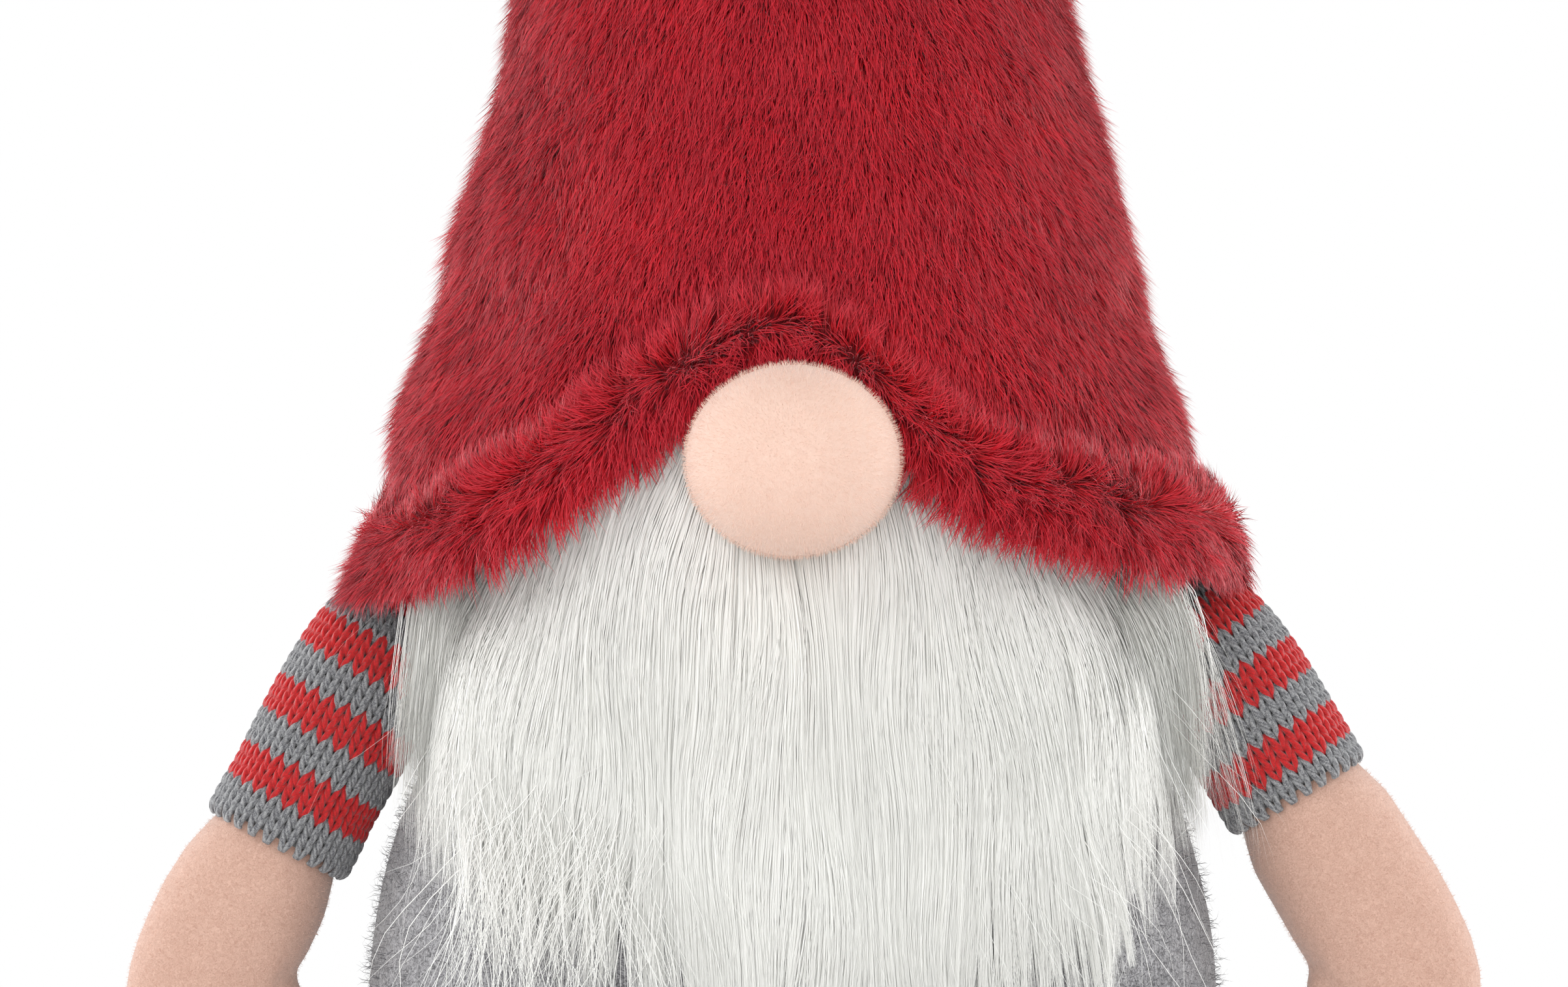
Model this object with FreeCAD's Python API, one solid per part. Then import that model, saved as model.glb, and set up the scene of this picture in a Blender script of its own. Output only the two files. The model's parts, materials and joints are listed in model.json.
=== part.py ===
"""Stuffed cloth tomte gnome: a weighted felt body, a tall fur hat that bends on a wire,
a long fur beard, a round nose and two loose arms in knitted sleeves.

Millimetres. The gnome stands on z = 0 and looks along -Y; +X is its own left side.
"""
import FreeCAD, Part
import os

os.makedirs("parts", exist_ok=True)
vec = FreeCAD.Vector

# ---- driving dimensions ----
# Every cloth outline is a list of level ovals: (height, half width, half depth).
BODY_SECTIONS = [
    (2, 88, 76), (10, 96, 83), (24, 103.5, 89.5), (45, 108, 93), (68, 109, 94), (87, 107.3, 92),
    (100, 104.3, 89.5), (113, 100, 86), (125, 94.5, 82), (139, 87.5, 77), (152, 80, 73),
    (165, 74.5, 69), (185, 72.5, 66), (205, 72, 66), (225, 69, 64), (240, 60, 57), (250, 45, 43),
]
HAT_SKIRT_SECTIONS = [
    (160, 117, 101), (176, 114.5, 98), (187, 109, 94.5), (197, 106, 92), (217, 100, 88),
    (237, 91.6, 83.5), (257, 87.5, 80), (277, 82.3, 76), (297, 77.3, 72), (317, 72.3, 68),
]
HAT_CONE_START = 345
HAT_CONE_RADIUS = 65
HAT_TIP_HEIGHT = 598
HAT_TIP_RADIUS = 2
HAT_CONE_BEND = 1.08
HAT_CONE_FLATNESS = 0.045
HAT_CONE_STEPS = 9

FELT = 2
FUR = 8
JERSEY = 1.2
KNIT = 2.5
FIT = 0.3
SOFT_GAP = 1
SMALLEST_OVAL = 1.5
# how far a cutting shape runs past the open end that it cuts
PAST = 5

BASE_PANEL_HALF = (87.5, 75.5)
BASE_BOARD_HALF = (84.5, 72.5)
BASE_BOARD_TOP = 4.7
WEIGHT_BAG_TOP = 38

# The brim hangs level round the sides and back and arches up over the nose.
BRIM_LEVEL = 181
BRIM_ARCH = [(-90, 181), (-70, 192), (-50, 202), (-28, 214), (0, 226), (28, 210), (50, 193), (70, 184),
             (90, 181)]
CUFF_HEIGHT = 18
CUFF_THICKNESS = 6.5
CUFF_GAP = 0.2
LINING_TOP = 228
LINING_HEM = 5

BEARD_TOP = 222
BEARD_BACKING_BOTTOM = 118
BEARD_BACKING_HALF_WIDTH = 78
BEARD_BACKING_GAP = 0.4
BEARD_PILE_GAP = 0.8
BEARD_EDGE = [(60, 222), (72, 205), (82, 175), (84, 140), (80, 108), (70, 78), (55, 52), (30, 33)]
BEARD_END = 27
BEARD_SIDE_GAP = 2
BEARD_PILE = [(10, 4), (30, 5), (68, 9), (100, 12), (140, 17), (180, 16), (215, 10), (240, 8)]

NOSE_CENTRE = vec(0, -92, 198.7)
NOSE_HALF = (28, 26, 25)
GATHER_RADIUS = 6
GATHER_LENGTH = 4.5
NOSE_ROOM = 0.5

LEAN_HEIGHT = 345
LEAN_BALL = 66.5
FLOP_HEIGHT = 455
FLOP_BALL = 38.5
WIRE_RADIUS = 1.2
WIRE_FOOT_HEIGHT = 258
WIRE_FOOT_RADIUS = 12
WIRE_END_GAP = 1
WIRE_TOP = 536

# Each arm hangs from its top end, turned out from the body by its splay.
ARM_TOP = (95.3, 170.1)
LEFT_SPLAY = 31
RIGHT_SPLAY = 28
SHOULDER = (83.2, 158)
KNOT_RADIUS = 5.2
KNOT_ROOM = 1.5
SLEEVE_SECTIONS = [
    (0, 5), (3, 9), (7, 12.2), (12, 14.8), (18, 17), (25, 18.7), (33, 19.6), (42, 20), (51, 20),
]
# The two sleeves end at different places: the left one is worn shorter.
LEFT_SLEEVE = 65
RIGHT_SLEEVE = 77
HEM_SECTIONS = [(-7, 20), (0, 19.7)]
# The wrist is placed from the sleeve's hem, and swells once it is out of the sleeve.
WRIST_SECTIONS = [(-14, 16, 16), (-3, 16.2, 16), (4, 18.4, 16.8), (12, 20.6, 16.6)]
PALM_SECTIONS = [
    (100, 21.6, 15.4), (110, 21.2, 14.2), (119, 20.2, 13), (127, 18.2, 11.6), (133, 15.2, 9.8),
    (138, 11.3, 7.5), (141, 7, 4.9), (142, 4, 3),
]
THUMB_ROOT = (101, 9)
THUMB_TIP = (112, 19.5)
THUMB_RADIUS = 6.5

FAR = 400


# ---- shapes used by many pieces ----
def oval(height, half_width, half_depth):
    """Level oval wire round the Z axis."""
    flat = Part.Ellipse(vec(0, 0, height), half_width, half_depth)
    if half_width - half_depth < 0.01:
        flat = Part.Circle(vec(0, 0, height), vec(0, 0, 1), half_width)
    return Part.Wire(flat.toShape())


def loft(sections):
    """Solid through a list of level ovals."""
    return Part.makeLoft([oval(*section) for section in sections], True, False)


def offset_sections(sections, amount, top_drop=0.0, extra_below=0.0):
    """The same ovals grown by amount (shrunk when negative), without those that vanish.

    The last oval comes down by top_drop, and one more is added extra_below under the first.
    """
    moved = [(z, wide + amount, deep + amount) for z, wide, deep in sections]
    moved = [section for section in moved if section[2] > SMALLEST_OVAL]
    first = moved[0]
    last = moved[-1]
    moved[-1] = (last[0] - top_drop, last[1], last[2])
    if extra_below:
        moved.insert(0, (first[0] - extra_below, first[1], first[2]))
    return moved


def slab(low, high):
    """Everything between two heights."""
    return Part.makeBox(2 * FAR, 2 * FAR, high - low, vec(-FAR, -FAR, low))


def front_half(shape):
    return shape.common(Part.makeBox(2 * FAR, FAR, 4 * FAR, vec(-FAR, -FAR, -FAR)))


def back_half(shape):
    return shape.common(Part.makeBox(2 * FAR, FAR, 4 * FAR, vec(-FAR, 0, -FAR)))


def forward_prism(edges):
    """Solid swept towards -Y from an outline drawn in the plane y = 0."""
    return Part.Face(Part.Wire(Part.__sortEdges__(edges))).extrude(vec(0, -FAR, 0))


def line(start, end):
    """Straight edge between two (x, z) points of the plane y = 0."""
    return Part.LineSegment(vec(start[0], 0, start[1]), vec(end[0], 0, end[1])).toShape()


def spline(points, **ends):
    """Smooth edge through (x, z) points of the plane y = 0."""
    curve = Part.BSplineCurve()
    curve.interpolate(Points=[vec(x, 0, z) for x, z in points], **ends)
    return curve.toShape()


def ellipsoid(centre, half_sizes):
    """Ball stretched to three half sizes."""
    stretch = FreeCAD.Matrix()
    stretch.scale(*half_sizes)
    ball = Part.makeSphere(1).transformGeometry(stretch)
    ball.translate(centre)
    return ball


def rod(bottom, top, radius):
    """Upright rod on the Z axis."""
    return Part.makeCylinder(radius, top - bottom, vec(0, 0, bottom))


def ball(height, radius):
    """Ball centred on the Z axis."""
    return Part.makeSphere(radius, vec(0, 0, height))


def shoulder_ball(sign, radius):
    """Ball centred on the shoulder at +X (sign 1) or -X (sign -1)."""
    return Part.makeSphere(radius, vec(sign * SHOULDER[0], 0, SHOULDER[1]))


# ---- outlines ----
def hat_sections():
    """The skirt's ovals, then a nearly straight cone of round sections up to the tip."""
    sections = list(HAT_SKIRT_SECTIONS)
    for step in range(HAT_CONE_STEPS + 1):
        left = 1 - step / HAT_CONE_STEPS
        height = HAT_TIP_HEIGHT - (HAT_TIP_HEIGHT - HAT_CONE_START) * left
        radius = HAT_TIP_RADIUS + (HAT_CONE_RADIUS - HAT_TIP_RADIUS) * left ** HAT_CONE_BEND
        sections.append((height, radius, radius * (1 - HAT_CONE_FLATNESS * left)))
    return sections


def brim_path(rise):
    """Edges of the brim line across the front, lifted by rise."""
    arch = [(x, z + rise) for x, z in BRIM_ARCH]
    level = BRIM_LEVEL + rise
    ends = {"InitialTangent": vec(1, 0, 0), "FinalTangent": vec(1, 0, 0)}
    return [line((-FAR, level), arch[0]), spline(arch, **ends), line(arch[-1], (FAR, level))]


def under_brim(rise):
    """Everything in front of y = 0 that lies below the brim line."""
    level = BRIM_LEVEL + rise
    below = -PAST
    right = line((FAR, level), (FAR, below))
    bottom = line((FAR, below), (-FAR, below))
    left = line((-FAR, below), (-FAR, level))
    return forward_prism(brim_path(rise) + [right, bottom, left])


def beard_outline():
    """Everything in front of y = 0 within the beard's tapering outline."""
    left = [(-x, z) for x, z in BEARD_EDGE]
    edge = spline(left + [(0, BEARD_END)] + BEARD_EDGE[::-1])
    return forward_prism([edge, line(BEARD_EDGE[0], left[0])]).translated(vec(0, -BEARD_SIDE_GAP, 0))


def pile_depth(height):
    """How far the beard's pile stands off the body at a height."""
    for (low, near), (high, far) in zip(BEARD_PILE, BEARD_PILE[1:]):
        if height <= high:
            return near + (far - near) * (height - low) / (high - low)
    return BEARD_PILE[-1][1]


body_outer = loft(BODY_SECTIONS)
hat_profile = hat_sections()
hat_outer = loft(hat_profile)
nose_space = ellipsoid(NOSE_CENTRE, [half + NOSE_ROOM for half in NOSE_HALF])


# ---- body ----
def body_pieces():
    """Two felt panels on a flat base, a bag of beads low down and soft filling above it."""
    shell = body_outer.cut(loft(offset_sections(BODY_SECTIONS, -FELT, top_drop=FELT, extra_below=PAST)))
    inside = loft(offset_sections(BODY_SECTIONS, -FELT - SOFT_GAP, top_drop=FELT + SOFT_GAP))
    panel = Part.Face(oval(0, *BASE_PANEL_HALF)).extrude(vec(0, 0, FELT))
    board_bottom = FELT + FIT
    board_face = Part.Face(oval(board_bottom, *BASE_BOARD_HALF))
    board = board_face.extrude(vec(0, 0, BASE_BOARD_TOP - board_bottom))
    return {
        "base_panel": panel,
        "base_board": board,
        "weight_bag": inside.common(slab(BASE_BOARD_TOP + FIT, WEIGHT_BAG_TOP)),
        "body_filling": inside.common(slab(WEIGHT_BAG_TOP + FIT, FAR)),
        "body_front_panel": front_half(shell),
        "body_back_panel": back_half(shell),
    }


# ---- beard and nose ----
def beard_pieces():
    """A cloth backing on the chest and the long pile that hangs from it."""
    backing_inner = loft(offset_sections(BODY_SECTIONS, BEARD_BACKING_GAP))
    backing = loft(offset_sections(BODY_SECTIONS, BEARD_BACKING_GAP + FELT)).cut(backing_inner)
    window = Part.makeBox(
        2 * BEARD_BACKING_HALF_WIDTH, FAR, BEARD_TOP - BEARD_BACKING_BOTTOM,
        vec(-BEARD_BACKING_HALF_WIDTH, -FAR, BEARD_BACKING_BOTTOM))
    pile_sections = [(z, wide + pile_depth(z), deep + pile_depth(z)) for z, wide, deep in BODY_SECTIONS]
    chest = offset_sections(BODY_SECTIONS, BEARD_PILE_GAP + FELT, top_drop=-1, extra_below=1)
    pile = loft(pile_sections).cut(loft(chest))
    knots = [shoulder_ball(sign, KNOT_RADIUS + KNOT_ROOM) for sign in (1, -1)]
    return {
        "beard_backing": front_half(backing.common(window)).cut(knots),
        "beard_pile": pile.common(beard_outline()).cut([nose_space] + knots),
    }


def nose_pieces():
    """A round jersey cover drawn up behind over a wad of filling."""
    behind = loft(offset_sections(BODY_SECTIONS, BEARD_PILE_GAP + FELT))
    cover = ellipsoid(NOSE_CENTRE, NOSE_HALF)
    lining = ellipsoid(NOSE_CENTRE, [half - JERSEY for half in NOSE_HALF])
    wad = ellipsoid(NOSE_CENTRE, [half - JERSEY - FIT for half in NOSE_HALF])
    back = -max(deep for z, wide, deep in BODY_SECTIONS if z > NOSE_CENTRE.z) - FELT - SOFT_GAP
    start = vec(0, back, NOSE_CENTRE.z)
    gather = Part.makeCylinder(GATHER_RADIUS, GATHER_LENGTH, start, vec(0, -1, 0))
    gather_room = Part.makeCylinder(GATHER_RADIUS + FIT, GATHER_LENGTH + FIT + 1, start + vec(0, 1, 0),
                                    vec(0, -1, 0))
    return {
        "nose_cover": cover.cut(lining).cut(behind),
        "nose_filling": wad.cut(behind).cut(gather_room),
        "nose_gather": gather.cut(behind),
    }


# ---- hat ----
def hat_skirt_pieces():
    """Lower hat, fixed to the body, with a turned-up fur cuff round the brim."""
    fur = hat_outer.cut(loft(offset_sections(hat_profile, -FUR, extra_below=PAST)))
    skirt = fur.common(slab(BRIM_LEVEL, LEAN_HEIGHT)).cut(ball(LEAN_HEIGHT, LEAN_BALL + FIT))
    cuff_inner = loft(offset_sections(hat_profile, CUFF_GAP, extra_below=PAST))
    cuff_ring = loft(offset_sections(hat_profile, CUFF_GAP + CUFF_THICKNESS)).cut(cuff_inner)
    above_cuff = slab(BRIM_LEVEL + CUFF_HEIGHT, 2 * FAR).cut(under_brim(CUFF_HEIGHT))
    cuff = cuff_ring.common(slab(BRIM_LEVEL, 2 * FAR)).cut(under_brim(0)).cut(above_cuff)
    depth = FUR + SOFT_GAP
    lining_outer = loft(offset_sections(hat_profile, -depth, extra_below=PAST))
    lining_inner = loft(offset_sections(hat_profile, -depth - JERSEY, top_drop=-1, extra_below=PAST))
    lining = lining_outer.cut(lining_inner).common(slab(BRIM_LEVEL + LINING_HEM, LINING_TOP))
    filling = lining_outer.common(slab(LINING_TOP + FIT, LEAN_HEIGHT))
    filling = filling.cut(loft(offset_sections(BODY_SECTIONS, SOFT_GAP, top_drop=-1)))
    filling = filling.cut(ball(LEAN_HEIGHT, LEAN_BALL + FIT))
    return {
        "hat_front_panel": front_half(skirt).cut(under_brim(0)).cut(nose_space),
        "hat_back_panel": back_half(skirt),
        "hat_brim_cuff": cuff.cut(nose_space),
        "hat_lining": lining.cut(under_brim(LINING_HEM)).cut(nose_space),
        "hat_filling": filling.cut(skirt_wire(WIRE_RADIUS + FIT)),
        "hat_wire_lower": skirt_wire(WIRE_RADIUS),
    }


def skirt_wire(radius):
    """Upright wire that ends below in a flat ring, so that it can't poke through the cloth."""
    top = LEAN_HEIGHT - LEAN_BALL - WIRE_END_GAP
    ring = Part.makeTorus(WIRE_FOOT_RADIUS, radius, vec(0, 0, WIRE_FOOT_HEIGHT))
    spoke = Part.makeCylinder(radius, WIRE_FOOT_RADIUS, vec(0, 0, WIRE_FOOT_HEIGHT), vec(1, 0, 0))
    return rod(WIRE_FOOT_HEIGHT, top, radius).fuse([spoke, ring]).removeSplitter()


def hat_upper_pieces(name, low, high, low_ball, high_ball, wire_top):
    """One bending length of the hat: it sits on the length below with a ball of filling."""
    fur = hat_outer.cut(loft(offset_sections(hat_profile, -FUR))).common(slab(low, high))
    core = loft(offset_sections(hat_profile, -FUR - SOFT_GAP)).common(slab(low, high))
    seat = ball(low, low_ball).common(slab(low - FAR, low))
    if high_ball:
        socket = ball(high, high_ball + FIT)
        fur = fur.cut(socket)
        core = core.cut(socket)
    wire_bottom = low - low_ball + WIRE_END_GAP
    room = rod(wire_bottom - WIRE_END_GAP - FIT, wire_top + FIT, WIRE_RADIUS + FIT)
    return {
        "hat_%s_front_panel" % name: front_half(fur),
        "hat_%s_back_panel" % name: back_half(fur),
        "hat_%s_filling" % name: core.fuse(seat).cut(room).removeSplitter(),
        "hat_wire_%s" % name: rod(wire_bottom, wire_top, WIRE_RADIUS),
    }


# ---- arms ----
def arm_loft(sections, amount=0.0, extra=()):
    """Solid along the arm, which hangs down -Z from its own top at the origin.

    The rounds grow by amount, and each place in extra repeats the nearest end's round there.
    """
    rounds = [(place, wide + amount, deep + amount) for place, wide, deep in sections]
    for place in extra:
        nearest = rounds[0] if place < rounds[0][0] else rounds[-1]
        rounds.append((place, nearest[1], nearest[2]))
        rounds.sort()
    return loft([(-place, wide, deep) for place, wide, deep in rounds])


def thumb(amount):
    """Short thumb on the inner edge of the mitt, for the arm on the +X side."""
    root = vec(-THUMB_ROOT[1], 0, -THUMB_ROOT[0])
    tip = vec(-THUMB_TIP[1], 0, -THUMB_TIP[0])
    radius = THUMB_RADIUS + amount
    stem = Part.makeCylinder(radius, (tip - root).Length, root, tip - root)
    return stem.fuse([Part.makeSphere(radius, root), Part.makeSphere(radius, tip)])


def arm_pieces(side, sign, splay, cuff_end):
    """Knitted sleeve, jersey mitt and filling of one arm, and the knot that it hangs from."""
    hem = [(cuff_end + place, radius) for place, radius in HEM_SECTIONS]
    sleeve_rounds = [(place, radius, radius) for place, radius in SLEEVE_SECTIONS + hem]
    wrist = [(cuff_end + place, wide, deep) for place, wide, deep in WRIST_SECTIONS]
    hand_rounds = wrist + PALM_SECTIONS
    mitt_end = hand_rounds[0][0]
    domed = [(place, wide, deep) for place, wide, deep in sleeve_rounds if place > KNIT]
    sleeve = arm_loft(sleeve_rounds).cut(arm_loft(domed, -KNIT, [cuff_end + PAST]))
    closed = hand_rounds[:-1]
    mitt = arm_loft(hand_rounds).fuse(thumb(0))
    mitt_inside = arm_loft(closed, -JERSEY, [mitt_end - PAST]).fuse(thumb(-JERSEY))
    # the wad narrows where it passes from the sleeve into the mitt's open end
    mitt_wad = arm_loft(closed, -JERSEY - FIT, [mitt_end - 1]).fuse(thumb(-JERSEY - FIT))
    sleeve_wad = arm_loft(domed, -KNIT - FIT).common(slab(FIT - mitt_end, -KNIT - FIT))
    filling = sleeve_wad.fuse(mitt_wad).removeSplitter()
    knot_room = shoulder_ball(sign, KNOT_RADIUS + FIT)
    pieces = {"sleeve": sleeve, "hand": mitt.cut(mitt_inside), "arm_filling": filling}
    placed = {}
    for name, shape in pieces.items():
        if sign < 0:
            shape = shape.mirror(vec(0, 0, 0), vec(1, 0, 0))
        shape = shape.copy()
        shape.rotate(vec(0, 0, 0), vec(0, 1, 0), -sign * splay)
        shape.translate(vec(sign * ARM_TOP[0], 0, ARM_TOP[1]))
        placed["%s_%s" % (side, name)] = shape.cut(knot_room)
    placed["%s_shoulder_knot" % side] = shoulder_ball(sign, KNOT_RADIUS)
    return placed


# ---- all pieces ----
pieces = {}
pieces.update(body_pieces())
pieces.update(beard_pieces())
pieces.update(nose_pieces())
pieces.update(hat_skirt_pieces())
pieces.update(hat_upper_pieces("middle", LEAN_HEIGHT, FLOP_HEIGHT, LEAN_BALL, FLOP_BALL,
                               FLOP_HEIGHT - FLOP_BALL - WIRE_END_GAP))
pieces.update(hat_upper_pieces("tip", FLOP_HEIGHT, HAT_TIP_HEIGHT, FLOP_BALL, 0, WIRE_TOP))
pieces.update(arm_pieces("left", 1, LEFT_SPLAY, LEFT_SLEEVE))
pieces.update(arm_pieces("right", -1, RIGHT_SPLAY, RIGHT_SLEEVE))

for name, shape in pieces.items():
    print(name, "solids", len(shape.Solids), "valid", shape.isValid(), "mm3", round(shape.Volume))
    shape.exportStep("parts/%s.step" % name)
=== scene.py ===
import json
import math

import bpy
import numpy as np
from bpy.props import FloatProperty, FloatVectorProperty, IntProperty, PointerProperty
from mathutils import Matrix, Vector, noise
from mathutils.bvhtree import BVHTree


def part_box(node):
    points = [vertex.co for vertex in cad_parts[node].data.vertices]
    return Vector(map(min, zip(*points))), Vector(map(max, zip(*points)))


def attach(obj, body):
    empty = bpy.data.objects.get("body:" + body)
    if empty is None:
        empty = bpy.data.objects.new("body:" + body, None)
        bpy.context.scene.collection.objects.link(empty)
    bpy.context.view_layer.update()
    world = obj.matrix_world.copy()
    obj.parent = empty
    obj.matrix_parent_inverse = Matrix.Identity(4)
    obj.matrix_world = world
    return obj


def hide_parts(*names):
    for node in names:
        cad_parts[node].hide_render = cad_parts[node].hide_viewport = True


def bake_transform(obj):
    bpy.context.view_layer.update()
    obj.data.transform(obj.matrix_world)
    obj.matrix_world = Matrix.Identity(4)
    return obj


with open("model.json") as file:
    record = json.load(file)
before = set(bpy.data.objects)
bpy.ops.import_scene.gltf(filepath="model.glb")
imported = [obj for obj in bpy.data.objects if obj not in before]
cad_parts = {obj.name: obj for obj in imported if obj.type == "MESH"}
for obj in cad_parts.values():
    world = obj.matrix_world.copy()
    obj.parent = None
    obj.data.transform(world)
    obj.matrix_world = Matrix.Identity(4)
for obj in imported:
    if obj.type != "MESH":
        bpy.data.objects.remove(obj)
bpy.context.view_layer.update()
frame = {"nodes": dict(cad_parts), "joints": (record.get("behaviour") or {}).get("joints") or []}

bl_info = {
    "name": "Cloth gnome",
    "version": (1, 0, 0),
    "blender": (4, 5, 0),
    "location": "3D View > Sidebar > Gnome",
    "description": "Sews, stuffs, knits and combs a cloth gnome round its packed frame",
    "category": "Object",
}

MM = 0.001


# ---- numbers and colours ----
def from_screen(red, green, blue):
    """A screen colour, 0 to 255, as Blender's linear colour."""
    return tuple(((part / 255 + 0.055) / 1.055) ** 2.4 for part in (red, green, blue))


def colour_property(name, description, default):
    return FloatVectorProperty(name=name, description=description, subtype="COLOR", size=3, min=0, max=1,
                               default=default)


def length_property(name, description, default):
    return FloatProperty(name=name, description=description, subtype="DISTANCE", unit="LENGTH", min=0,
                         default=default)


def smooth_step(value):
    value = np.clip(value, 0, 1)
    return value * value * (3 - 2 * value)


def unit(vectors):
    return vectors / np.maximum(np.linalg.norm(vectors, axis=-1, keepdims=True), 1e-9)


def lumps(points, size, seed):
    """Smooth noise between -1 and 1 at each point, with lumps of the given size."""
    flat = points.reshape(-1, 3) / size + seed
    values = [noise.noise(Vector(point)) for point in flat]
    return np.array(values).reshape(points.shape[:-1])


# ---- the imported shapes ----
def cad_triangles(*nodes):
    """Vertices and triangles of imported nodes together."""
    places, triangles, first = [], [], 0
    for node in nodes:
        mesh = frame["nodes"][node].data
        here = np.zeros(len(mesh.vertices) * 3, np.float32)
        mesh.vertices.foreach_get("co", here)
        corners = np.zeros(len(mesh.loops), np.int32)
        mesh.loops.foreach_get("vertex_index", corners)
        places.append(here.reshape(-1, 3))
        triangles.append(corners.reshape(-1, 3) + first)
        first += len(mesh.vertices)
    return np.concatenate(places), np.concatenate(triangles)


class OvalShape:
    """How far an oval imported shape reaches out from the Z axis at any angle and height."""

    def __init__(self, nodes, low, high, rows=110, columns=25):
        places, triangles = cad_triangles(*nodes)
        tree = BVHTree.FromPolygons(places.tolist(), triangles.tolist())
        self.heights = np.linspace(low, high, rows)
        self.columns = columns
        self.table = np.zeros((rows, columns))
        for row, height in enumerate(self.heights):
            for column in range(columns):
                angle = math.pi / 2 * (column + 0.02) / (columns - 0.96)
                way = Vector((math.cos(angle), math.sin(angle), 0))
                hit = tree.ray_cast(way + Vector((0, 0, height)), -way)[0]
                self.table[row, column] = math.hypot(hit.x, hit.y) if hit else 0

    def reach(self, angle, height):
        """Distance from the axis to the surface, for arrays of angles and heights."""
        folded = np.abs(np.arctan2(np.abs(np.sin(angle)), np.abs(np.cos(angle))))
        column = np.clip(folded / (math.pi / 2) * (self.columns - 1), 0, self.columns - 1.001)
        step = self.heights[1] - self.heights[0]
        row = np.clip((height - self.heights[0]) / step, 0, len(self.heights) - 1.001)
        i, j = row.astype(int), column.astype(int)
        a, b = row - i, column - j
        low = self.table[i, j] * (1 - b) + self.table[i, j + 1] * b
        high = self.table[i + 1, j] * (1 - b) + self.table[i + 1, j + 1] * b
        return low * (1 - a) + high * a


def around(reach, angle, height):
    """Points at a distance from the Z axis."""
    return np.stack([reach * np.cos(angle), reach * np.sin(angle), height], -1)


# ---- meshes ----
def mesh_object(name, places, faces, edges=()):
    mesh = bpy.data.meshes.new(name)
    mesh.from_pydata(np.asarray(places).tolist(), edges, faces)
    made = bpy.data.objects.new(name, mesh)
    bpy.context.scene.collection.objects.link(made)
    mesh.update()
    return made


def grid_faces(rows, columns, closed):
    """Quads over a grid of points; closed joins the last column to the first."""
    j = np.arange(columns if closed else columns - 1)
    i = np.arange(rows - 1)[:, None]
    after = (j + 1) % columns
    quads = [i * columns + j, i * columns + after, (i + 1) * columns + after, (i + 1) * columns + j]
    return np.stack(np.broadcast_arrays(*quads), -1).reshape(-1, 4).tolist()


def grid_object(name, points, closed=True, capped=False):
    """A skin over rows of points. Columns run anticlockwise and rows upwards, so it faces out."""
    rows, columns = points.shape[:2]
    places = points.reshape(-1, 3)
    faces = grid_faces(rows, columns, closed)
    if capped:
        bottom, top = len(places), len(places) + 1
        places = np.concatenate([places, points[:1].mean(axis=1), points[-1:].mean(axis=1)])
        last = (rows - 1) * columns
        for j in range(columns):
            after = (j + 1) % columns
            faces.append((bottom, after, j))
            faces.append((top, last + j, last + after))
    made = mesh_object(name, places, faces)
    shade_smooth(made)
    return made


def shade_smooth(piece):
    piece.data.polygons.foreach_set("use_smooth", [True] * len(piece.data.polygons))


def write_attribute(piece, name, values, kind="FLOAT"):
    values = np.asarray(values, np.float32)
    made = piece.data.attributes.new(name, kind, "POINT")
    made.data.foreach_set("vector" if kind == "FLOAT_VECTOR" else "value", values.ravel())


def read_places(mesh):
    places = np.zeros(len(mesh.vertices) * 3, np.float32)
    mesh.vertices.foreach_get("co", places)
    return places.reshape(-1, 3).astype(float)


def write_places(mesh, places):
    mesh.vertices.foreach_set("co", np.asarray(places, np.float32).ravel())
    mesh.update()


def settle(piece):
    """Makes what the modifiers show the piece's own plain mesh, and removes them."""
    bpy.context.view_layer.update()
    shown = piece.evaluated_get(bpy.context.evaluated_depsgraph_get())
    mesh = bpy.data.meshes.new_from_object(shown, preserve_all_data_layers=True,
                                           depsgraph=bpy.context.evaluated_depsgraph_get())
    old = piece.data
    piece.modifiers.clear()
    piece.data = mesh
    mesh.name = piece.name
    bpy.data.meshes.remove(old)
    return piece


def remesh(piece, voxel):
    step = piece.modifiers.new("even cloth", "REMESH")
    step.mode = "VOXEL"
    step.voxel_size = voxel
    step.use_smooth_shade = True
    return settle(piece)


def stuff(piece, pressure, cap, frames=18):
    """Swells a closed skin with cloth simulation, moves no point further than cap, and smooths it."""
    start = read_places(piece.data)
    cloth = piece.modifiers.new("stuffing", "CLOTH")
    cloth.settings.use_pressure = True
    cloth.settings.uniform_pressure_force = pressure
    cloth.settings.effector_weights.gravity = 0
    cloth.settings.quality = 5
    for number in range(1, frames + 1):
        bpy.context.scene.frame_set(number)
    settle(piece)
    bpy.context.scene.frame_set(1)
    move = read_places(piece.data) - start
    far = np.linalg.norm(move, axis=1, keepdims=True)
    write_places(piece.data, start + move * np.minimum(1, cap / np.maximum(far, 1e-9)))
    finer = piece.modifiers.new("finer cloth", "SUBSURF")
    finer.levels = finer.render_levels = 1
    settle(piece)
    shade_smooth(piece)
    return piece


def dress(piece, material):
    piece.data.materials.clear()
    piece.data.materials.append(material)


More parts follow.
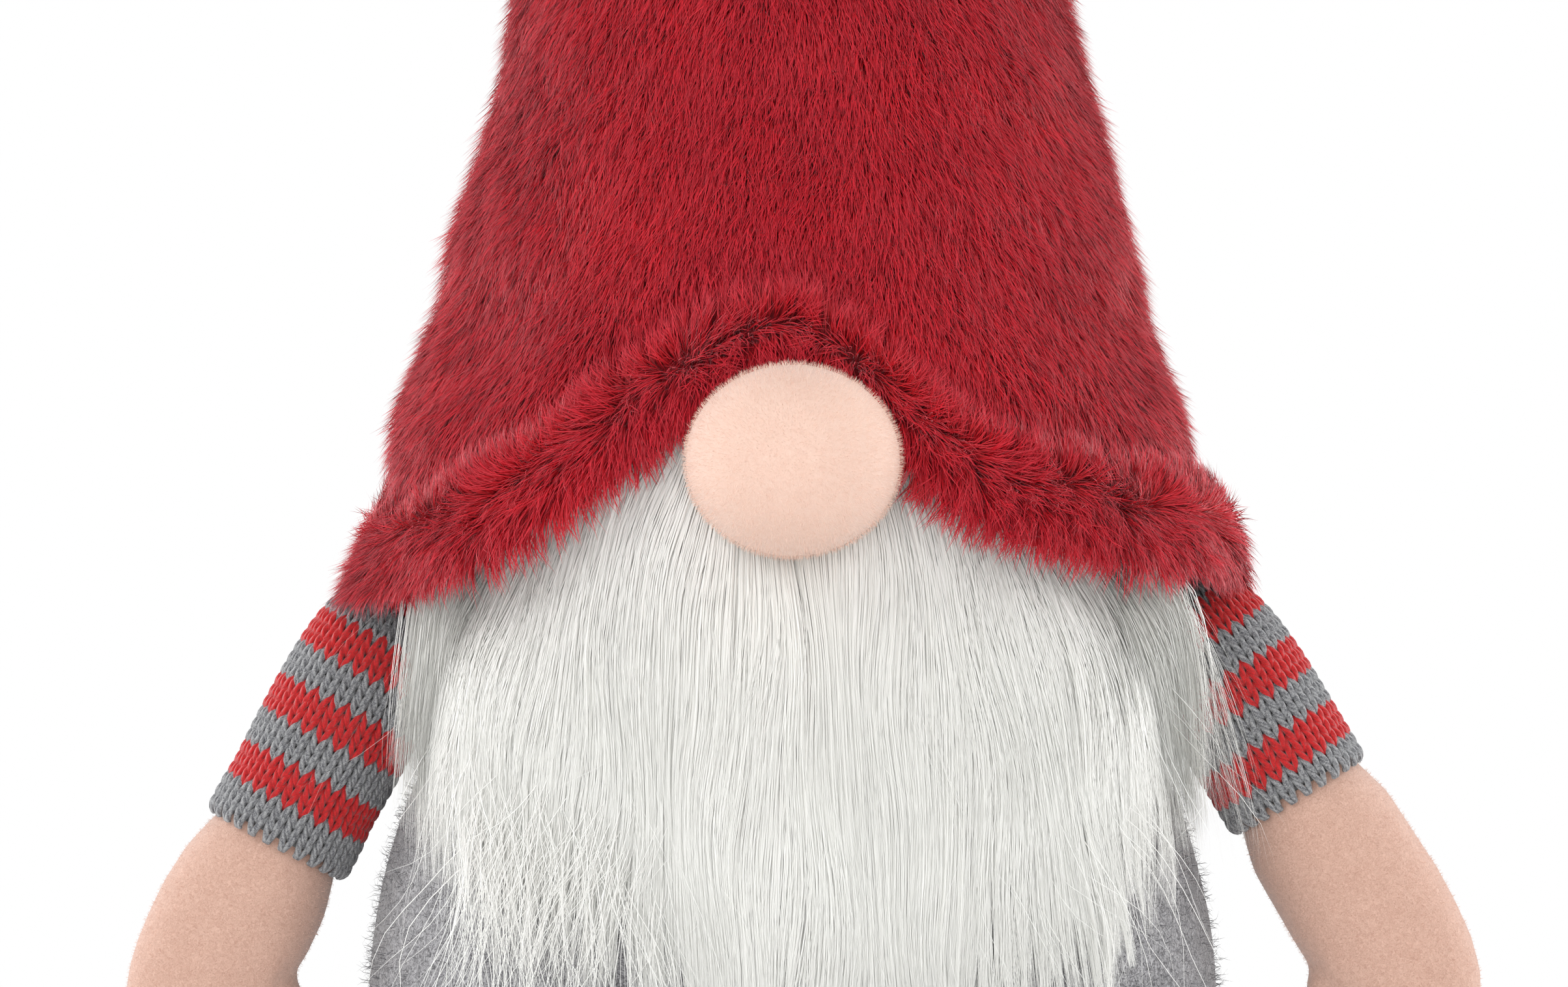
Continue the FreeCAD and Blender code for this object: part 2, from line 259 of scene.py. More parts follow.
# ---- node trees ----
class Wiring:
    """Adds nodes to a tree and joins their sockets in one line each."""

    def __init__(self, tree):
        self.tree = tree

    def add(self, kind, inputs=None, **settings):
        node = self.tree.nodes.new(kind)
        for key, value in settings.items():
            setattr(node, key, value)
        for key, value in (inputs or {}).items():
            self.join(value, node.inputs[key])
        return node

    def join(self, value, socket):
        if isinstance(value, bpy.types.Node):
            value = value.outputs[0]
        if isinstance(value, bpy.types.NodeSocket):
            self.tree.links.new(value, socket)
        else:
            socket.default_value = value

    def math(self, operation, first, second=0.0, third=0.0):
        return self.add("ShaderNodeMath", {0: first, 1: second, 2: third}, operation=operation).outputs[0]

    def vector(self, operation, first, second=(0, 0, 0), scale=None):
        inputs = {0: first, 1: second}
        if scale is not None:
            inputs[3] = scale
        node = self.add("ShaderNodeVectorMath", inputs, operation=operation)
        return node.outputs[1 if operation in ("LENGTH", "DOT_PRODUCT") else 0]

    def colour_mix(self, share, first, second, blend="MIX"):
        node = self.add("ShaderNodeMix", {0: share, 6: first, 7: second}, data_type="RGBA", blend_type=blend)
        return node.outputs[2]

    def band(self, value, low, high, out_low=0.0, out_high=1.0):
        inputs = {0: value, 1: low, 2: high, 3: out_low, 4: out_high}
        return self.add("ShaderNodeMapRange", inputs).outputs[0]

    def named(self, name, kind="FLOAT"):
        return self.add("GeometryNodeInputNamedAttribute", {"Name": name}, data_type=kind).outputs[0]

    def chance(self, low, high, seed):
        node = self.add("FunctionNodeRandomValue", {2: low, 3: high, "Seed": seed}, data_type="FLOAT")
        return node.outputs[1]

    def keep(self, geometry, name, value, domain, kind="FLOAT"):
        node = self.add("GeometryNodeStoreNamedAttribute", {"Geometry": geometry, "Name": name},
                        data_type=kind, domain=domain)
        self.join(value, node.inputs["Value"])
        return node.outputs[0]


def rgba(colour):
    return (*colour[:3], 1.0)


def start_tree(name, kind, inputs, outputs):
    """A new node group with named sockets: {name: (socket type, default)}. Returns wiring and ends."""
    tree = bpy.data.node_groups.new(name, kind)
    for label, (socket_type, default) in inputs.items():
        socket = tree.interface.new_socket(name=label, in_out="INPUT", socket_type=socket_type)
        if default is not None:
            socket.default_value = default
    for label, socket_type in outputs.items():
        tree.interface.new_socket(name=label, in_out="OUTPUT", socket_type=socket_type)
    wires = Wiring(tree)
    return wires, wires.add("NodeGroupInput").outputs, wires.add("NodeGroupOutput").inputs


def finish_tree(wires, geometry, material, end):
    """Every tree ends in real, coloured geometry."""
    real = wires.add("GeometryNodeRealizeInstances", {"Geometry": geometry})
    painted = wires.add("GeometryNodeSetMaterial", {"Geometry": real, "Material": material})
    wires.join(painted, end["Geometry"])
    return wires.tree


def run_tree(piece, tree, values):
    """Runs a node tree on a piece with named inputs, then keeps the result as a plain mesh."""
    step = piece.modifiers.new(tree.name, "NODES")
    step.node_group = tree
    for item in tree.interface.items_tree:
        if item.in_out == "INPUT" and item.name in values:
            step[item.identifier] = values[item.name]
    return settle(piece)


FLOAT, VECTOR, COLOUR = "NodeSocketFloat", "NodeSocketVector", "NodeSocketColor"
INTEGER, MATERIAL, GEOMETRY = "NodeSocketInt", "NodeSocketMaterial", "NodeSocketGeometry"


def pile_tree():
    """Fur: thin tapered blades all over a skin, each laid along the skin's own "lay" direction.

    The skin carries lay (a direction), rise (0 flat, 1 upright), long and cover (shares of the inputs).
    """
    wires, into, out = start_tree("pile", "GeometryNodeTree", {
        "Geometry": (GEOMETRY, None), "Cover": (FLOAT, 1e6), "Length": (FLOAT, 0.011),
        "Width": (FLOAT, 0.0004), "Tuft Size": (FLOAT, 0.005), "Tuft Pull": (FLOAT, 0.5),
        "Stray": (FLOAT, 0.25), "Bow": (FLOAT, 0.18), "Segments": (INTEGER, 3), "Seed": (INTEGER, 1),
        "Material": (MATERIAL, None)}, {"Geometry": GEOMETRY})
    density = wires.math("MULTIPLY", wires.named("cover"), into["Cover"])
    roots = wires.add("GeometryNodeDistributePointsOnFaces",
                      {"Mesh": into["Geometry"], "Density": density, "Seed": into["Seed"]})
    place = wires.add("GeometryNodeInputPosition").outputs[0]
    outward = roots.outputs["Normal"]
    rows = wires.math("ADD", into["Segments"], 1.0)

    # one blade, root at the origin, pointing along Z and bowed towards Y
    sheet = wires.add("GeometryNodeMeshGrid", {"Size X": 1.0, "Size Y": 1.0, "Vertices X": 2,
                                               "Vertices Y": rows})
    split = wires.add("ShaderNodeSeparateXYZ", {0: place})
    along = wires.math("ADD", split.outputs[1], 0.5)
    taper = wires.math("SUBTRACT", 1.0, wires.math("POWER", along, 2.2))
    bowed = wires.math("MULTIPLY", wires.math("MULTIPLY", along, wires.math("SUBTRACT", 1.0, along)), 4.0)
    shape = wires.add("ShaderNodeCombineXYZ", {0: wires.math("MULTIPLY", split.outputs[0], taper),
                                               1: wires.math("MULTIPLY", bowed, into["Bow"]), 2: along})
    marked = wires.keep(sheet.outputs["Mesh"], "along", along, "POINT")
    blade = wires.add("GeometryNodeSetPosition", {"Geometry": marked, "Position": shape})
    blade = wires.add("GeometryNodeMergeByDistance", {"Geometry": blade, "Distance": 1e-4})

    # each blade's own direction: the lay, lifted by the rise, drawn into tufts and strayed a little
    rise = wires.named("rise")
    lay = wires.vector("SCALE", wires.named("lay", "FLOAT_VECTOR"), scale=wires.math("SUBTRACT", 1.0, rise))
    up = wires.vector("SCALE", outward, scale=rise)
    cells = wires.add("ShaderNodeTexVoronoi", {"Vector": place, "Scale": wires.math("DIVIDE", 1.0,
                                                                                    into["Tuft Size"])})
    toward = wires.vector("SUBTRACT", cells.outputs["Position"], place)
    pull = wires.math("DIVIDE", into["Tuft Pull"], into["Tuft Size"])
    toward = wires.vector("SCALE", toward, scale=pull)
    drift = wires.add("ShaderNodeTexNoise", {"Vector": place, "Scale": 60.0, "Detail": 2.0})
    drift = wires.vector("SUBTRACT", drift.outputs["Color"], (0.5, 0.5, 0.5))
    drift = wires.vector("SCALE", drift, scale=wires.math("MULTIPLY", into["Stray"], 3.0))
    own = wires.add("FunctionNodeRandomValue", {0: (-1, -1, -1), 1: (1, 1, 1), "Seed": 7},
                    data_type="FLOAT_VECTOR")
    own = wires.vector("SCALE", own.outputs[0], scale=into["Stray"])
    aim = lay
    for part in (up, toward, drift, own):
        aim = wires.vector("ADD", aim, part)
    turned = wires.add("FunctionNodeAxesToRotation", {0: aim, 1: outward}, primary_axis="Z",
                       secondary_axis="Y")
    twist = wires.add("FunctionNodeAxisAngleToRotation", {0: (0, 0, 1), 1: wires.chance(-0.5, 0.5, 11)})
    turned = wires.add("FunctionNodeRotateRotation", {0: turned, 1: twist}, rotation_space="LOCAL")
    length = wires.math("MULTIPLY", wires.math("MULTIPLY", into["Length"], wires.named("long")),
                        wires.chance(0.7, 1.15, 13))
    size = wires.add("ShaderNodeCombineXYZ", {0: into["Width"], 1: length, 2: length})
    blades = wires.add("GeometryNodeInstanceOnPoints", {"Points": roots.outputs["Points"], "Instance": blade,
                                                        "Rotation": turned, "Scale": size})
    tinted = wires.keep(blades.outputs[0], "tint", wires.chance(0.0, 1.0, 17), "INSTANCE")
    return finish_tree(wires, tinted, into["Material"], out)


def strand_tree():
    """Long hair: flat tapered strands along lines that are already combed.

    The lines carry outward (the strand's flat side) and half (half its width at the root).
    """
    wires, into, out = start_tree("strands", "GeometryNodeTree", {
        "Geometry": (GEOMETRY, None), "Material": (MATERIAL, None)}, {"Geometry": GEOMETRY})
    lines = wires.add("GeometryNodeMeshToCurve", {"Mesh": into["Geometry"]})
    along = wires.add("GeometryNodeSplineParameter").outputs["Factor"]
    lines = wires.keep(lines.outputs[0], "along", along, "POINT")
    lines = wires.add("GeometryNodeSetCurveNormal",
                      {"Curve": lines, "Normal": wires.named("outward", "FLOAT_VECTOR")}, mode="FREE")
    thin = wires.math("SUBTRACT", 1.0, wires.math("POWER", along, 2.0))
    width = wires.math("MULTIPLY", wires.named("half"), wires.math("MAXIMUM", thin, 0.08))
    flat = wires.add("GeometryNodeCurvePrimitiveLine", {"Start": (0, -1, 0), "End": (0, 1, 0)})
    ribbons = wires.add("GeometryNodeCurveToMesh", {"Curve": lines, "Profile Curve": flat, "Scale": width})
    smooth = wires.add("GeometryNodeSetShadeSmooth", {"Geometry": ribbons})
    return finish_tree(wires, smooth, into["Material"], out)


def stitch_tree():
    """Knitting: a V of two yarn legs on every point of a sleeve.

    The points carry across, outward (directions), wide, tall (sizes) and yarn (which colour).
    """
    wires, into, out = start_tree("stitches", "GeometryNodeTree", {
        "Geometry": (GEOMETRY, None), "Thickness": (FLOAT, 0.2), "Material": (MATERIAL, None)},
        {"Geometry": GEOMETRY})
    both = wires.add("GeometryNodeJoinGeometry")
    for side in (-1, 1):
        leg = wires.add("GeometryNodeCurvePrimitiveBezierSegment", {
            "Resolution": 6, "Start": (side * 0.07, -0.2, -0.9), "Start Handle": (side * 0.1, 0.2, -0.55),
            "End Handle": (side * 0.4, 0.22, 0.3), "End": (side * 0.33, -0.22, 0.95)})
        wires.tree.links.new(leg.outputs[0], both.inputs[0])
    along = wires.add("GeometryNodeSplineParameter").outputs["Factor"]
    legs = wires.keep(both.outputs[0], "along", along, "POINT")
    circle = wires.add("GeometryNodeCurvePrimitiveCircle", {"Resolution": 6, "Radius": into["Thickness"]})
    round_section = wires.keep(circle.outputs[0], "turn", along, "POINT")
    vee = wires.add("GeometryNodeCurveToMesh", {"Curve": legs, "Profile Curve": round_section})
    turned = wires.add("FunctionNodeAxesToRotation", {
        0: wires.named("across", "FLOAT_VECTOR"), 1: wires.named("outward", "FLOAT_VECTOR")},
        primary_axis="X", secondary_axis="Y")
    wide = wires.named("wide")
    size = wires.add("ShaderNodeCombineXYZ", {0: wide, 1: wide, 2: wires.named("tall")})
    points = wires.add("GeometryNodeMeshToPoints", {"Mesh": into["Geometry"]})
    vees = wires.add("GeometryNodeInstanceOnPoints", {"Points": points, "Instance": vee, "Rotation": turned,
                                                      "Scale": size})
    tinted = wires.keep(vees.outputs[0], "tint", wires.chance(0.0, 1.0, 5), "INSTANCE")
    smooth = wires.add("GeometryNodeSetShadeSmooth", {"Geometry": tinted})
    return finish_tree(wires, smooth, into["Material"], out)


# ---- shader effects ----
def fibres_group():
    """Short mottled fibres, as in felt: a value that varies and the height of the nap."""
    wires, into, out = start_tree("fibres", "ShaderNodeTree", {
        "Size": (FLOAT, 0.0012), "Stretch": (VECTOR, (1, 1, 1)), "Contrast": (FLOAT, 1.0)},
        {"Value": FLOAT, "Height": FLOAT})
    place = wires.add("ShaderNodeTexCoord").outputs["Object"]
    place = wires.vector("MULTIPLY", place, into["Stretch"])
    scale = wires.math("DIVIDE", 1.0, into["Size"])
    fine = wires.add("ShaderNodeTexNoise", {"Vector": place, "Scale": scale, "Detail": 4.0, "Roughness": 0.7,
                                            "Distortion": 1.5})
    broad = wires.add("ShaderNodeTexNoise", {"Vector": place, "Scale": wires.math("MULTIPLY", scale, 0.12),
                                             "Detail": 3.0})
    centred = wires.math("SUBTRACT", fine.outputs["Fac"], 0.5)
    spread = wires.math("MULTIPLY_ADD", centred, wires.math("MULTIPLY", into["Contrast"], 3.0), 0.5)
    patch = wires.math("MULTIPLY_ADD", wires.math("SUBTRACT", broad.outputs["Fac"], 0.5), 0.3, spread)
    clamped = wires.add("ShaderNodeClamp", {0: patch})
    wires.join(clamped, out["Value"])
    wires.join(fine.outputs["Fac"], out["Height"])
    return wires.tree


def strand_colour_group():
    """Colour of a hair: darker at its root as painted shade in the pile, its own tint along it, paler at its
    tip as a painted highlight, with broad patches.
    """
    wires, into, out = start_tree("strand colour", "ShaderNodeTree", {
        "Root": (COLOUR, None), "Middle": (COLOUR, None), "Tip": (COLOUR, None), "Patch": (COLOUR, None),
        "Patch Size": (FLOAT, 0.03), "Tint Spread": (FLOAT, 0.3)}, {"Color": COLOUR})
    along = wires.add("ShaderNodeAttribute", attribute_name="along").outputs["Fac"]
    tint = wires.add("ShaderNodeAttribute", attribute_name="tint").outputs["Fac"]
    place = wires.add("ShaderNodeTexCoord").outputs["Object"]
    scale = wires.math("DIVIDE", 1.0, into["Patch Size"])
    cloud = wires.add("ShaderNodeTexNoise", {"Vector": place, "Scale": scale, "Detail": 2.0}).outputs["Fac"]
    body = wires.colour_mix(wires.band(cloud, 0.35, 0.65), into["Middle"], into["Patch"])
    # painted shade: the root colour darkens each strand near the skin, where the pile shades itself
    low = wires.colour_mix(wires.band(along, 0.0, 0.45), into["Root"], body)
    # painted highlight: the tip colour lightens each strand towards its end
    full = wires.colour_mix(wires.band(along, 0.45, 1.0), low, into["Tip"])
    shade = wires.math("MULTIPLY_ADD", wires.math("SUBTRACT", tint, 0.5), into["Tint Spread"], 1.0)
    grey = wires.add("ShaderNodeCombineColor", {0: shade, 1: shade, 2: shade})
    wires.join(wires.colour_mix(1.0, full, grey, "MULTIPLY"), out["Color"])
    return wires.tree


def new_material(name):
    """An empty material's wiring and its shader."""
    made = bpy.data.materials.new(name)
    made.use_nodes = True
    made.node_tree.nodes.clear()
    wires = Wiring(made.node_tree)
    shader = wires.add("ShaderNodeBsdfPrincipled")
    end = wires.add("ShaderNodeOutputMaterial")
    wires.join(shader.outputs[0], end.inputs["Surface"])
    return made, wires, shader


def set_shader(wires, shader, values):
    for key, value in values.items():
        wires.join(value, shader.inputs[key])


def group(wires, name, inputs):
    node = wires.add("ShaderNodeGroup", node_tree=bpy.data.node_groups[name])
    for key, value in inputs.items():
        wires.join(value, node.inputs[key])
    return node


def hair_material(name, root, middle, tip, patch, patch_size, spread, rough, sheen, sheen_colour):
    made, wires, shader = new_material(name)
    colour = group(wires, "strand colour", {
        "Root": rgba(root), "Middle": rgba(middle), "Tip": rgba(tip), "Patch": rgba(patch),
        "Patch Size": patch_size, "Tint Spread": spread})
    set_shader(wires, shader, {
        "Base Color": colour, "Roughness": rough, "Sheen Weight": sheen, "Sheen Roughness": 0.4,
        "Sheen Tint": rgba(sheen_colour), "Specular IOR Level": 0.35})
    return made


def cloth_material(name, dark, light, size, stretch=(1, 1, 1), contrast=1.0, rough=0.9, sheen=0.25, bump=0.4,
                   depth=0.0004):
    """Felt, fleece or plain cloth: mottled between two colours with a raised nap."""
    made, wires, shader = new_material(name)
    nap = group(wires, "fibres", {"Size": size, "Stretch": stretch, "Contrast": contrast})
    colour = wires.colour_mix(nap.outputs["Value"], rgba(dark), rgba(light))
    raised = wires.add("ShaderNodeBump",
                       {"Strength": bump, "Distance": depth, "Height": nap.outputs["Height"]})
    set_shader(wires, shader, {
        "Base Color": colour, "Roughness": rough, "Normal": raised, "Sheen Weight": sheen,
        "Sheen Roughness": 0.5, "Specular IOR Level": 0.25})
    return made


def yarn_material(name, red, grey, dark_grey):
    """Plied yarn: its plies wind along each stitch, darkened in painted shade between the plies, and "yarn"
    picks the colour.
    """
    made, wires, shader = new_material(name)
    yarn = wires.add("ShaderNodeAttribute", attribute_name="yarn").outputs["Fac"]
    along = wires.add("ShaderNodeAttribute", attribute_name="along").outputs["Fac"]
    turn = wires.add("ShaderNodeAttribute", attribute_name="turn").outputs["Fac"]
    winding = wires.math("MULTIPLY_ADD", along, 2.4, wires.math("MULTIPLY", turn, 3.0))
    ply = wires.math("SINE", wires.math("MULTIPLY", winding, 2 * math.pi))
    nap = group(wires, "fibres", {"Size": 0.0005, "Stretch": (1, 1, 1), "Contrast": 1.4})
    # painted shade: the ply winding darkens the colour between plies, over the fibres' own mottle
    ply_shade_and_mottle = wires.math("MULTIPLY_ADD", ply, 0.22, nap.outputs["Value"])
    ply_shade_and_mottle = wires.add("ShaderNodeClamp", {0: ply_shade_and_mottle})
    mottled = wires.colour_mix(ply_shade_and_mottle, rgba(dark_grey), rgba(grey))
    # a darker copy of the red yarn, as painted shade
    shaded_red = tuple(part * 0.55 for part in red)
    lively = wires.colour_mix(ply_shade_and_mottle, rgba(shaded_red), rgba(red))
    colour = wires.colour_mix(yarn, lively, mottled)
    height = wires.math("MULTIPLY_ADD", ply, 0.5, nap.outputs["Height"])
    raised = wires.add("ShaderNodeBump", {"Strength": 0.7, "Distance": 0.0003, "Height": height})
    set_shader(wires, shader, {
        "Base Color": colour, "Roughness": 0.6, "Normal": raised, "Sheen Weight": 0.3,
        "Sheen Roughness": 0.5, "Specular IOR Level": 0.3})
    return made


# ---- what a user can change ----
class GnomeHatSettings(bpy.types.PropertyGroup):
    pile: length_property("Pile", "Length of the hat's fur", 0.0095)
    width: length_property("Strand width", "Width of one strand of the hat's fur", 0.00034)
    cuff_pile: length_property("Cuff pile", "Length of the fur on the turned-up cuff", 0.0125)
    cover: FloatProperty(name="Cover", description="Strands on each square millimetre of the hat", min=0.05,
                         max=6, default=3.0)
    # The deep red near the roots is painted shade in the pile; the pink tip colour is a painted sheen at the
    # fur's ends.
    deep: colour_property("Deep red", "Fur near its roots", from_screen(124, 7, 18))
    red: colour_property("Red", "Main colour of the fur", from_screen(182, 15, 31))
    bright: colour_property("Bright red", "Livelier patches of the fur", from_screen(194, 12, 26))
    sheen_tips: colour_property("Tips", "Tips of the fur", from_screen(208, 42, 60))


class GnomeBeardSettings(bpy.types.PropertyGroup):
    strands: IntProperty(name="Strands", description="Number of strands in the beard", min=1000, max=60000,
                         default=24000)
    length: length_property("Length", "Length of the beard's pile", 0.088)
    width: length_property("Strand width", "Width of one strand", 0.00034)
    thickness: length_property("Thickness", "How thick the pile lies on the chest", 0.0135)
    white: colour_property("White", "Main colour of the beard", from_screen(241, 241, 237))
    # the shade colour near the roots is painted shade in the pile
    shade: colour_property("Shade", "Colour of the beard near its roots", from_screen(237, 235, 231))


class GnomeClothSettings(bpy.types.PropertyGroup):
    felt_light: colour_property("Light felt", "Light fibres of the grey felt", from_screen(182, 181, 184))
    felt_dark: colour_property("Dark felt", "Dark fibres of the grey felt", from_screen(84, 83, 86))
    jersey: colour_property("Nose jersey", "Peach cloth of the nose", from_screen(242, 213, 198))
    jersey_dark: colour_property("Nose jersey shade", "Hollows of the nose's cloth",
                                 from_screen(230, 194, 176))
    # the mitts' colours are a darker copy of the nose's jersey: the same cloth in painted shade
    mitt: colour_property("Mitt jersey", "Peach cloth of the mitts", from_screen(226, 188, 170))
    mitt_dark: colour_property("Mitt jersey shade", "Hollows of the mitts' cloth", from_screen(196, 154, 136))
    pressure: FloatProperty(name="Stuffing pressure", description="How hard the stuffing swells the cloth",
                            min=0, max=20, default=4)


class GnomeKnitSettings(bpy.types.PropertyGroup):
    wales: IntProperty(name="Wales", description="Columns of stitches round a sleeve", min=8, max=120,
                       default=26)
    row: length_property("Row", "Height of one row of stitches", 0.0032)
    stripe: IntProperty(name="Stripe rows", description="Rows of stitches in each stripe", min=1, max=20,
                        default=3)
    red: colour_property("Red yarn", "Colour of the red yarn", from_screen(222, 30, 34))
    grey: colour_property("Grey yarn", "Light fibres of the grey yarn", from_screen(176, 177, 178))
    dark_grey: colour_property("Dark grey", "Dark fibres of the grey yarn", from_screen(84, 84, 90))


class GnomeStageSettings(bpy.types.PropertyGroup):
    focal: FloatProperty(name="Focal length", description="Camera focal length", unit="CAMERA", min=10,
                         max=1000, default=400)
    view_width: length_property("View width", "Width that the camera sees at the gnome", 0.4013)
    view_height: length_property("View centre", "Height of the middle of the view", 0.1904)
    daylight: FloatProperty(name="Daylight", description="Strength of the light from all sides", min=0, max=4,
                            default=0.5)
    floor: colour_property("Floor", "Colour of the floor", (0.86, 0.86, 0.86))


# ---- loose hairs on plain cloth ----
def peach_hairs(name, colour):
    """Material of the down on brushed jersey, in one colour."""
    return hair_material(name, colour, colour, colour, colour, 0.002, 0.1, 0.7, 0.2, (1, 0.95, 0.9))


def fuzz(name, source, material, body, cover, length, width, rise, stray):
    """Short loose hairs over a finished piece, as a piece of their own."""
    hairs = bpy.data.objects.new(name, source.data.copy())
    bpy.context.scene.collection.objects.link(hairs)
    normals = np.zeros(len(hairs.data.vertices) * 3, np.float32)
    hairs.data.vertices.foreach_get("normal", normals)
    normals = normals.reshape(-1, 3)
    any_way = np.random.default_rng(len(normals)).normal(size=normals.shape)
    write_attribute(hairs, "lay", unit(np.cross(normals, any_way)), "FLOAT_VECTOR")
    above_floor = (read_places(hairs.data)[:, 2] > 0.0045).astype(float)
    for key, value in (("rise", rise), ("long", 1.0), ("cover", above_floor)):
        write_attribute(hairs, key, np.broadcast_to(value, len(normals)).copy())
    share = 1.0
    run_tree(hairs, bpy.data.node_groups["pile"], {
        "Cover": cover * 1e6 * share, "Length": length, "Width": width, "Tuft Size": 0.004, "Tuft Pull": 0.1,
        "Stray": stray, "Bow": 0.2, "Segments": 2, "Seed": 3, "Material": material})
    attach(hairs, body)
    return hairs


# ---- body ----
BODY_FOOT = 0.0022


def body_shape():
    return OvalShape(["body_back_panel"], BODY_FOOT, 0.2475)


class GNOME_OT_body(bpy.types.Operator):
    """Felt body, stuffed and seamed"""
    bl_idname = "gnome.make_body"
    bl_label = "Make body"

    def execute(self, context):
        cloth = context.scene.gnome_cloth
        shape = body_shape()
        heights = np.concatenate([[BODY_FOOT], np.linspace(0.005, 0.246, 84)])[:, None]
        angles = np.linspace(0, 2 * math.pi, 128, endpoint=False)[None, :]
        heights, angles = np.broadcast_arrays(heights, angles)
        reach = shape.reach(angles, heights) - 1.6 * MM
        points = around(reach, angles, heights)
        sag = lumps(points, 0.05, 3.0) * 1.4 * MM + lumps(points, 0.02, 9.0) * 0.4 * MM
        points = around(reach + sag * smooth_step((heights - 0.004) / 0.02), angles, heights)
        body = grid_object("felt_body", points, capped=True)
        remesh(body, 0.0045)
        stuff(body, cloth.pressure, 0.003)
        places = read_places(body.data)
        # the felt stays outside the board and the sand bag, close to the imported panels
        across = np.hypot(places[:, 0], places[:, 1])
        angle = np.mod(np.arctan2(places[:, 1], places[:, 0]), 2 * math.pi)
        least = shape.reach(angle, np.maximum(places[:, 2], BODY_FOOT)) - 0.6 * MM
        low = (1 - smooth_step((places[:, 2] - 0.06) / 0.04)) * (across > 0.85 * least)
        places[:, :2] *= (1 + low * np.maximum(least - across, 0) / np.maximum(across, 0.02))[:, None]
        across = np.hypot(places[:, 0], places[:, 1])
        groove = np.exp(-(places[:, 1] / 0.0016) ** 2) * 0.0011
        inward = 1 - groove / np.maximum(across, 0.02)
        places[:, :2] *= inward[:, None]
        places[:, 2] = np.maximum(places[:, 2], BODY_FOOT)
        write_places(body.data, places)
        felt = cloth_material("grey felt", cloth.felt_dark, cloth.felt_light, 0.0011, contrast=1.5,
                              sheen=0.35, bump=0.7)
        dress(body, felt)
        # the loose hairs are darker at their roots: painted shade next to the cloth
        hairs = hair_material("felt hairs", cloth.felt_dark, cloth.felt_light, cloth.felt_light,
                              cloth.felt_dark, 0.002, 0.7, 0.6, 0.2, (1, 1, 1))
        fuzz("felt_hairs", body, hairs, "torso", cover=0.28, length=0.0042, width=0.00016,
             rise=0.16, stray=0.8)
        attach(body, "torso")
        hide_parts("body_front_panel", "body_back_panel", "body_filling")
        frame["nodes"]["base_panel"].data.materials.clear()
        frame["nodes"]["base_panel"].data.materials.append(felt)
        return {"FINISHED"}


# ---- beard ----
# where the strands end, as (distance from the middle, height): longer on the gnome's left
BEARD_TIPS = [(-110, 128), (-98, 120), (-92, 104), (-86, 94), (-76, 85), (-62, 78), (-48, 71), (-34, 61),
              (-22, 46), (-10, 35), (0, 30), (18, 32), (30, 36), (45, 44), (58, 52), (68, 60), (78, 68),
              (86, 78), (92, 94), (97, 110), (110, 126)]
BEARD_SIDES = (0.09, 0.096)


def rounded_line(x, corners, soften=0.009):
    """Height at x of a line through the given corners, with the corners rounded off."""
    places, heights = np.array(corners).T * MM
    shifts = np.linspace(-soften, soften, 9)
    return np.mean([np.interp(x + shift, places, heights) for shift in shifts], axis=0)


def tip_height(x):
    return rounded_line(x, BEARD_TIPS, 0.004)


def brim_front(x):
    return rounded_line(x, BRIM_LINE)


def hold_in(x, own):
    """Keeps strands from spreading out over the sleeves, each to its own limit."""
    limit = np.where(x < 0, *BEARD_SIDES) + 0.005 * own
    beyond = np.maximum(np.abs(x) - limit, 0)
    return np.sign(x) * (np.minimum(np.abs(x), limit) + 0.01 * np.tanh(beyond / 0.016))


def pile_thickness(x, z, full):
    """Thin at the strands' ends and under the brim, full on the chest."""
    ends = smooth_step((z - tip_height(x)) / 0.06)
    under_brim = smooth_step((z - 0.155) / 0.06)
    return full * ends * (1 - 0.15 * under_brim)


def onto_chest(x, z, stand, shape):
    """Puts points at a distance x across and a height z in front of the body, and clear of the sleeves."""
    level = np.maximum(z, 0.0024)
    side = shape.reach(np.zeros_like(z), level)
    depth = shape.reach(np.full_like(z, math.pi / 2), level)
    share = np.clip(np.abs(x) / (side + stand), 0, 0.985)
    y = -(depth + stand) * np.sqrt(1 - share ** 2)
    before_sleeve = -(0.034 + stand * 0.5) * smooth_step((np.abs(x) - 0.07) / 0.014)
    before_sleeve = before_sleeve * smooth_step((z - 0.085) / 0.03)
    return np.stack([x, np.minimum(y, before_sleeve), z], -1)


def wave(x, z):
    """A slow wave through the whole beard, as the angle that it turns the strands by."""
    return (0.07 * np.sin(130 * x + 40 * z + 1.3) + 0.06 * np.sin(70 * x - 85 * z + 4)
            + 0.05 * np.sin(190 * x + 120 * z))


def hang(x, z, length, lean, relax, sway, steps):
    """Strands that leave their roots at an angle and bend down under their own weight."""
    xs, zs = [x], [z]
    step = length / (steps - 1)
    for k in range(1, steps):
        here = step * (k - 0.5)
        angle = lean * np.exp(-here / relax) + sway[0] * np.sin(here * sway[1] + sway[2]) * here / length
        angle = angle + wave(x, z)
        x = x + step * np.sin(angle)
        z = z - step * np.cos(angle)
        xs.append(x)
        zs.append(z)
    return np.stack(xs, 1), np.stack(zs, 1)


def beard_lean(x, z):
    """How far a strand leans outwards at its root: most along the brim and least on the chest."""
    far = np.clip(np.abs(x) / 0.055, 0, 1) ** 0.7
    near_brim = np.exp(-np.maximum(brim_front(x) - z, 0) / 0.03)
    return np.sign(x) * far * (0.08 + 1.05 * near_brim)


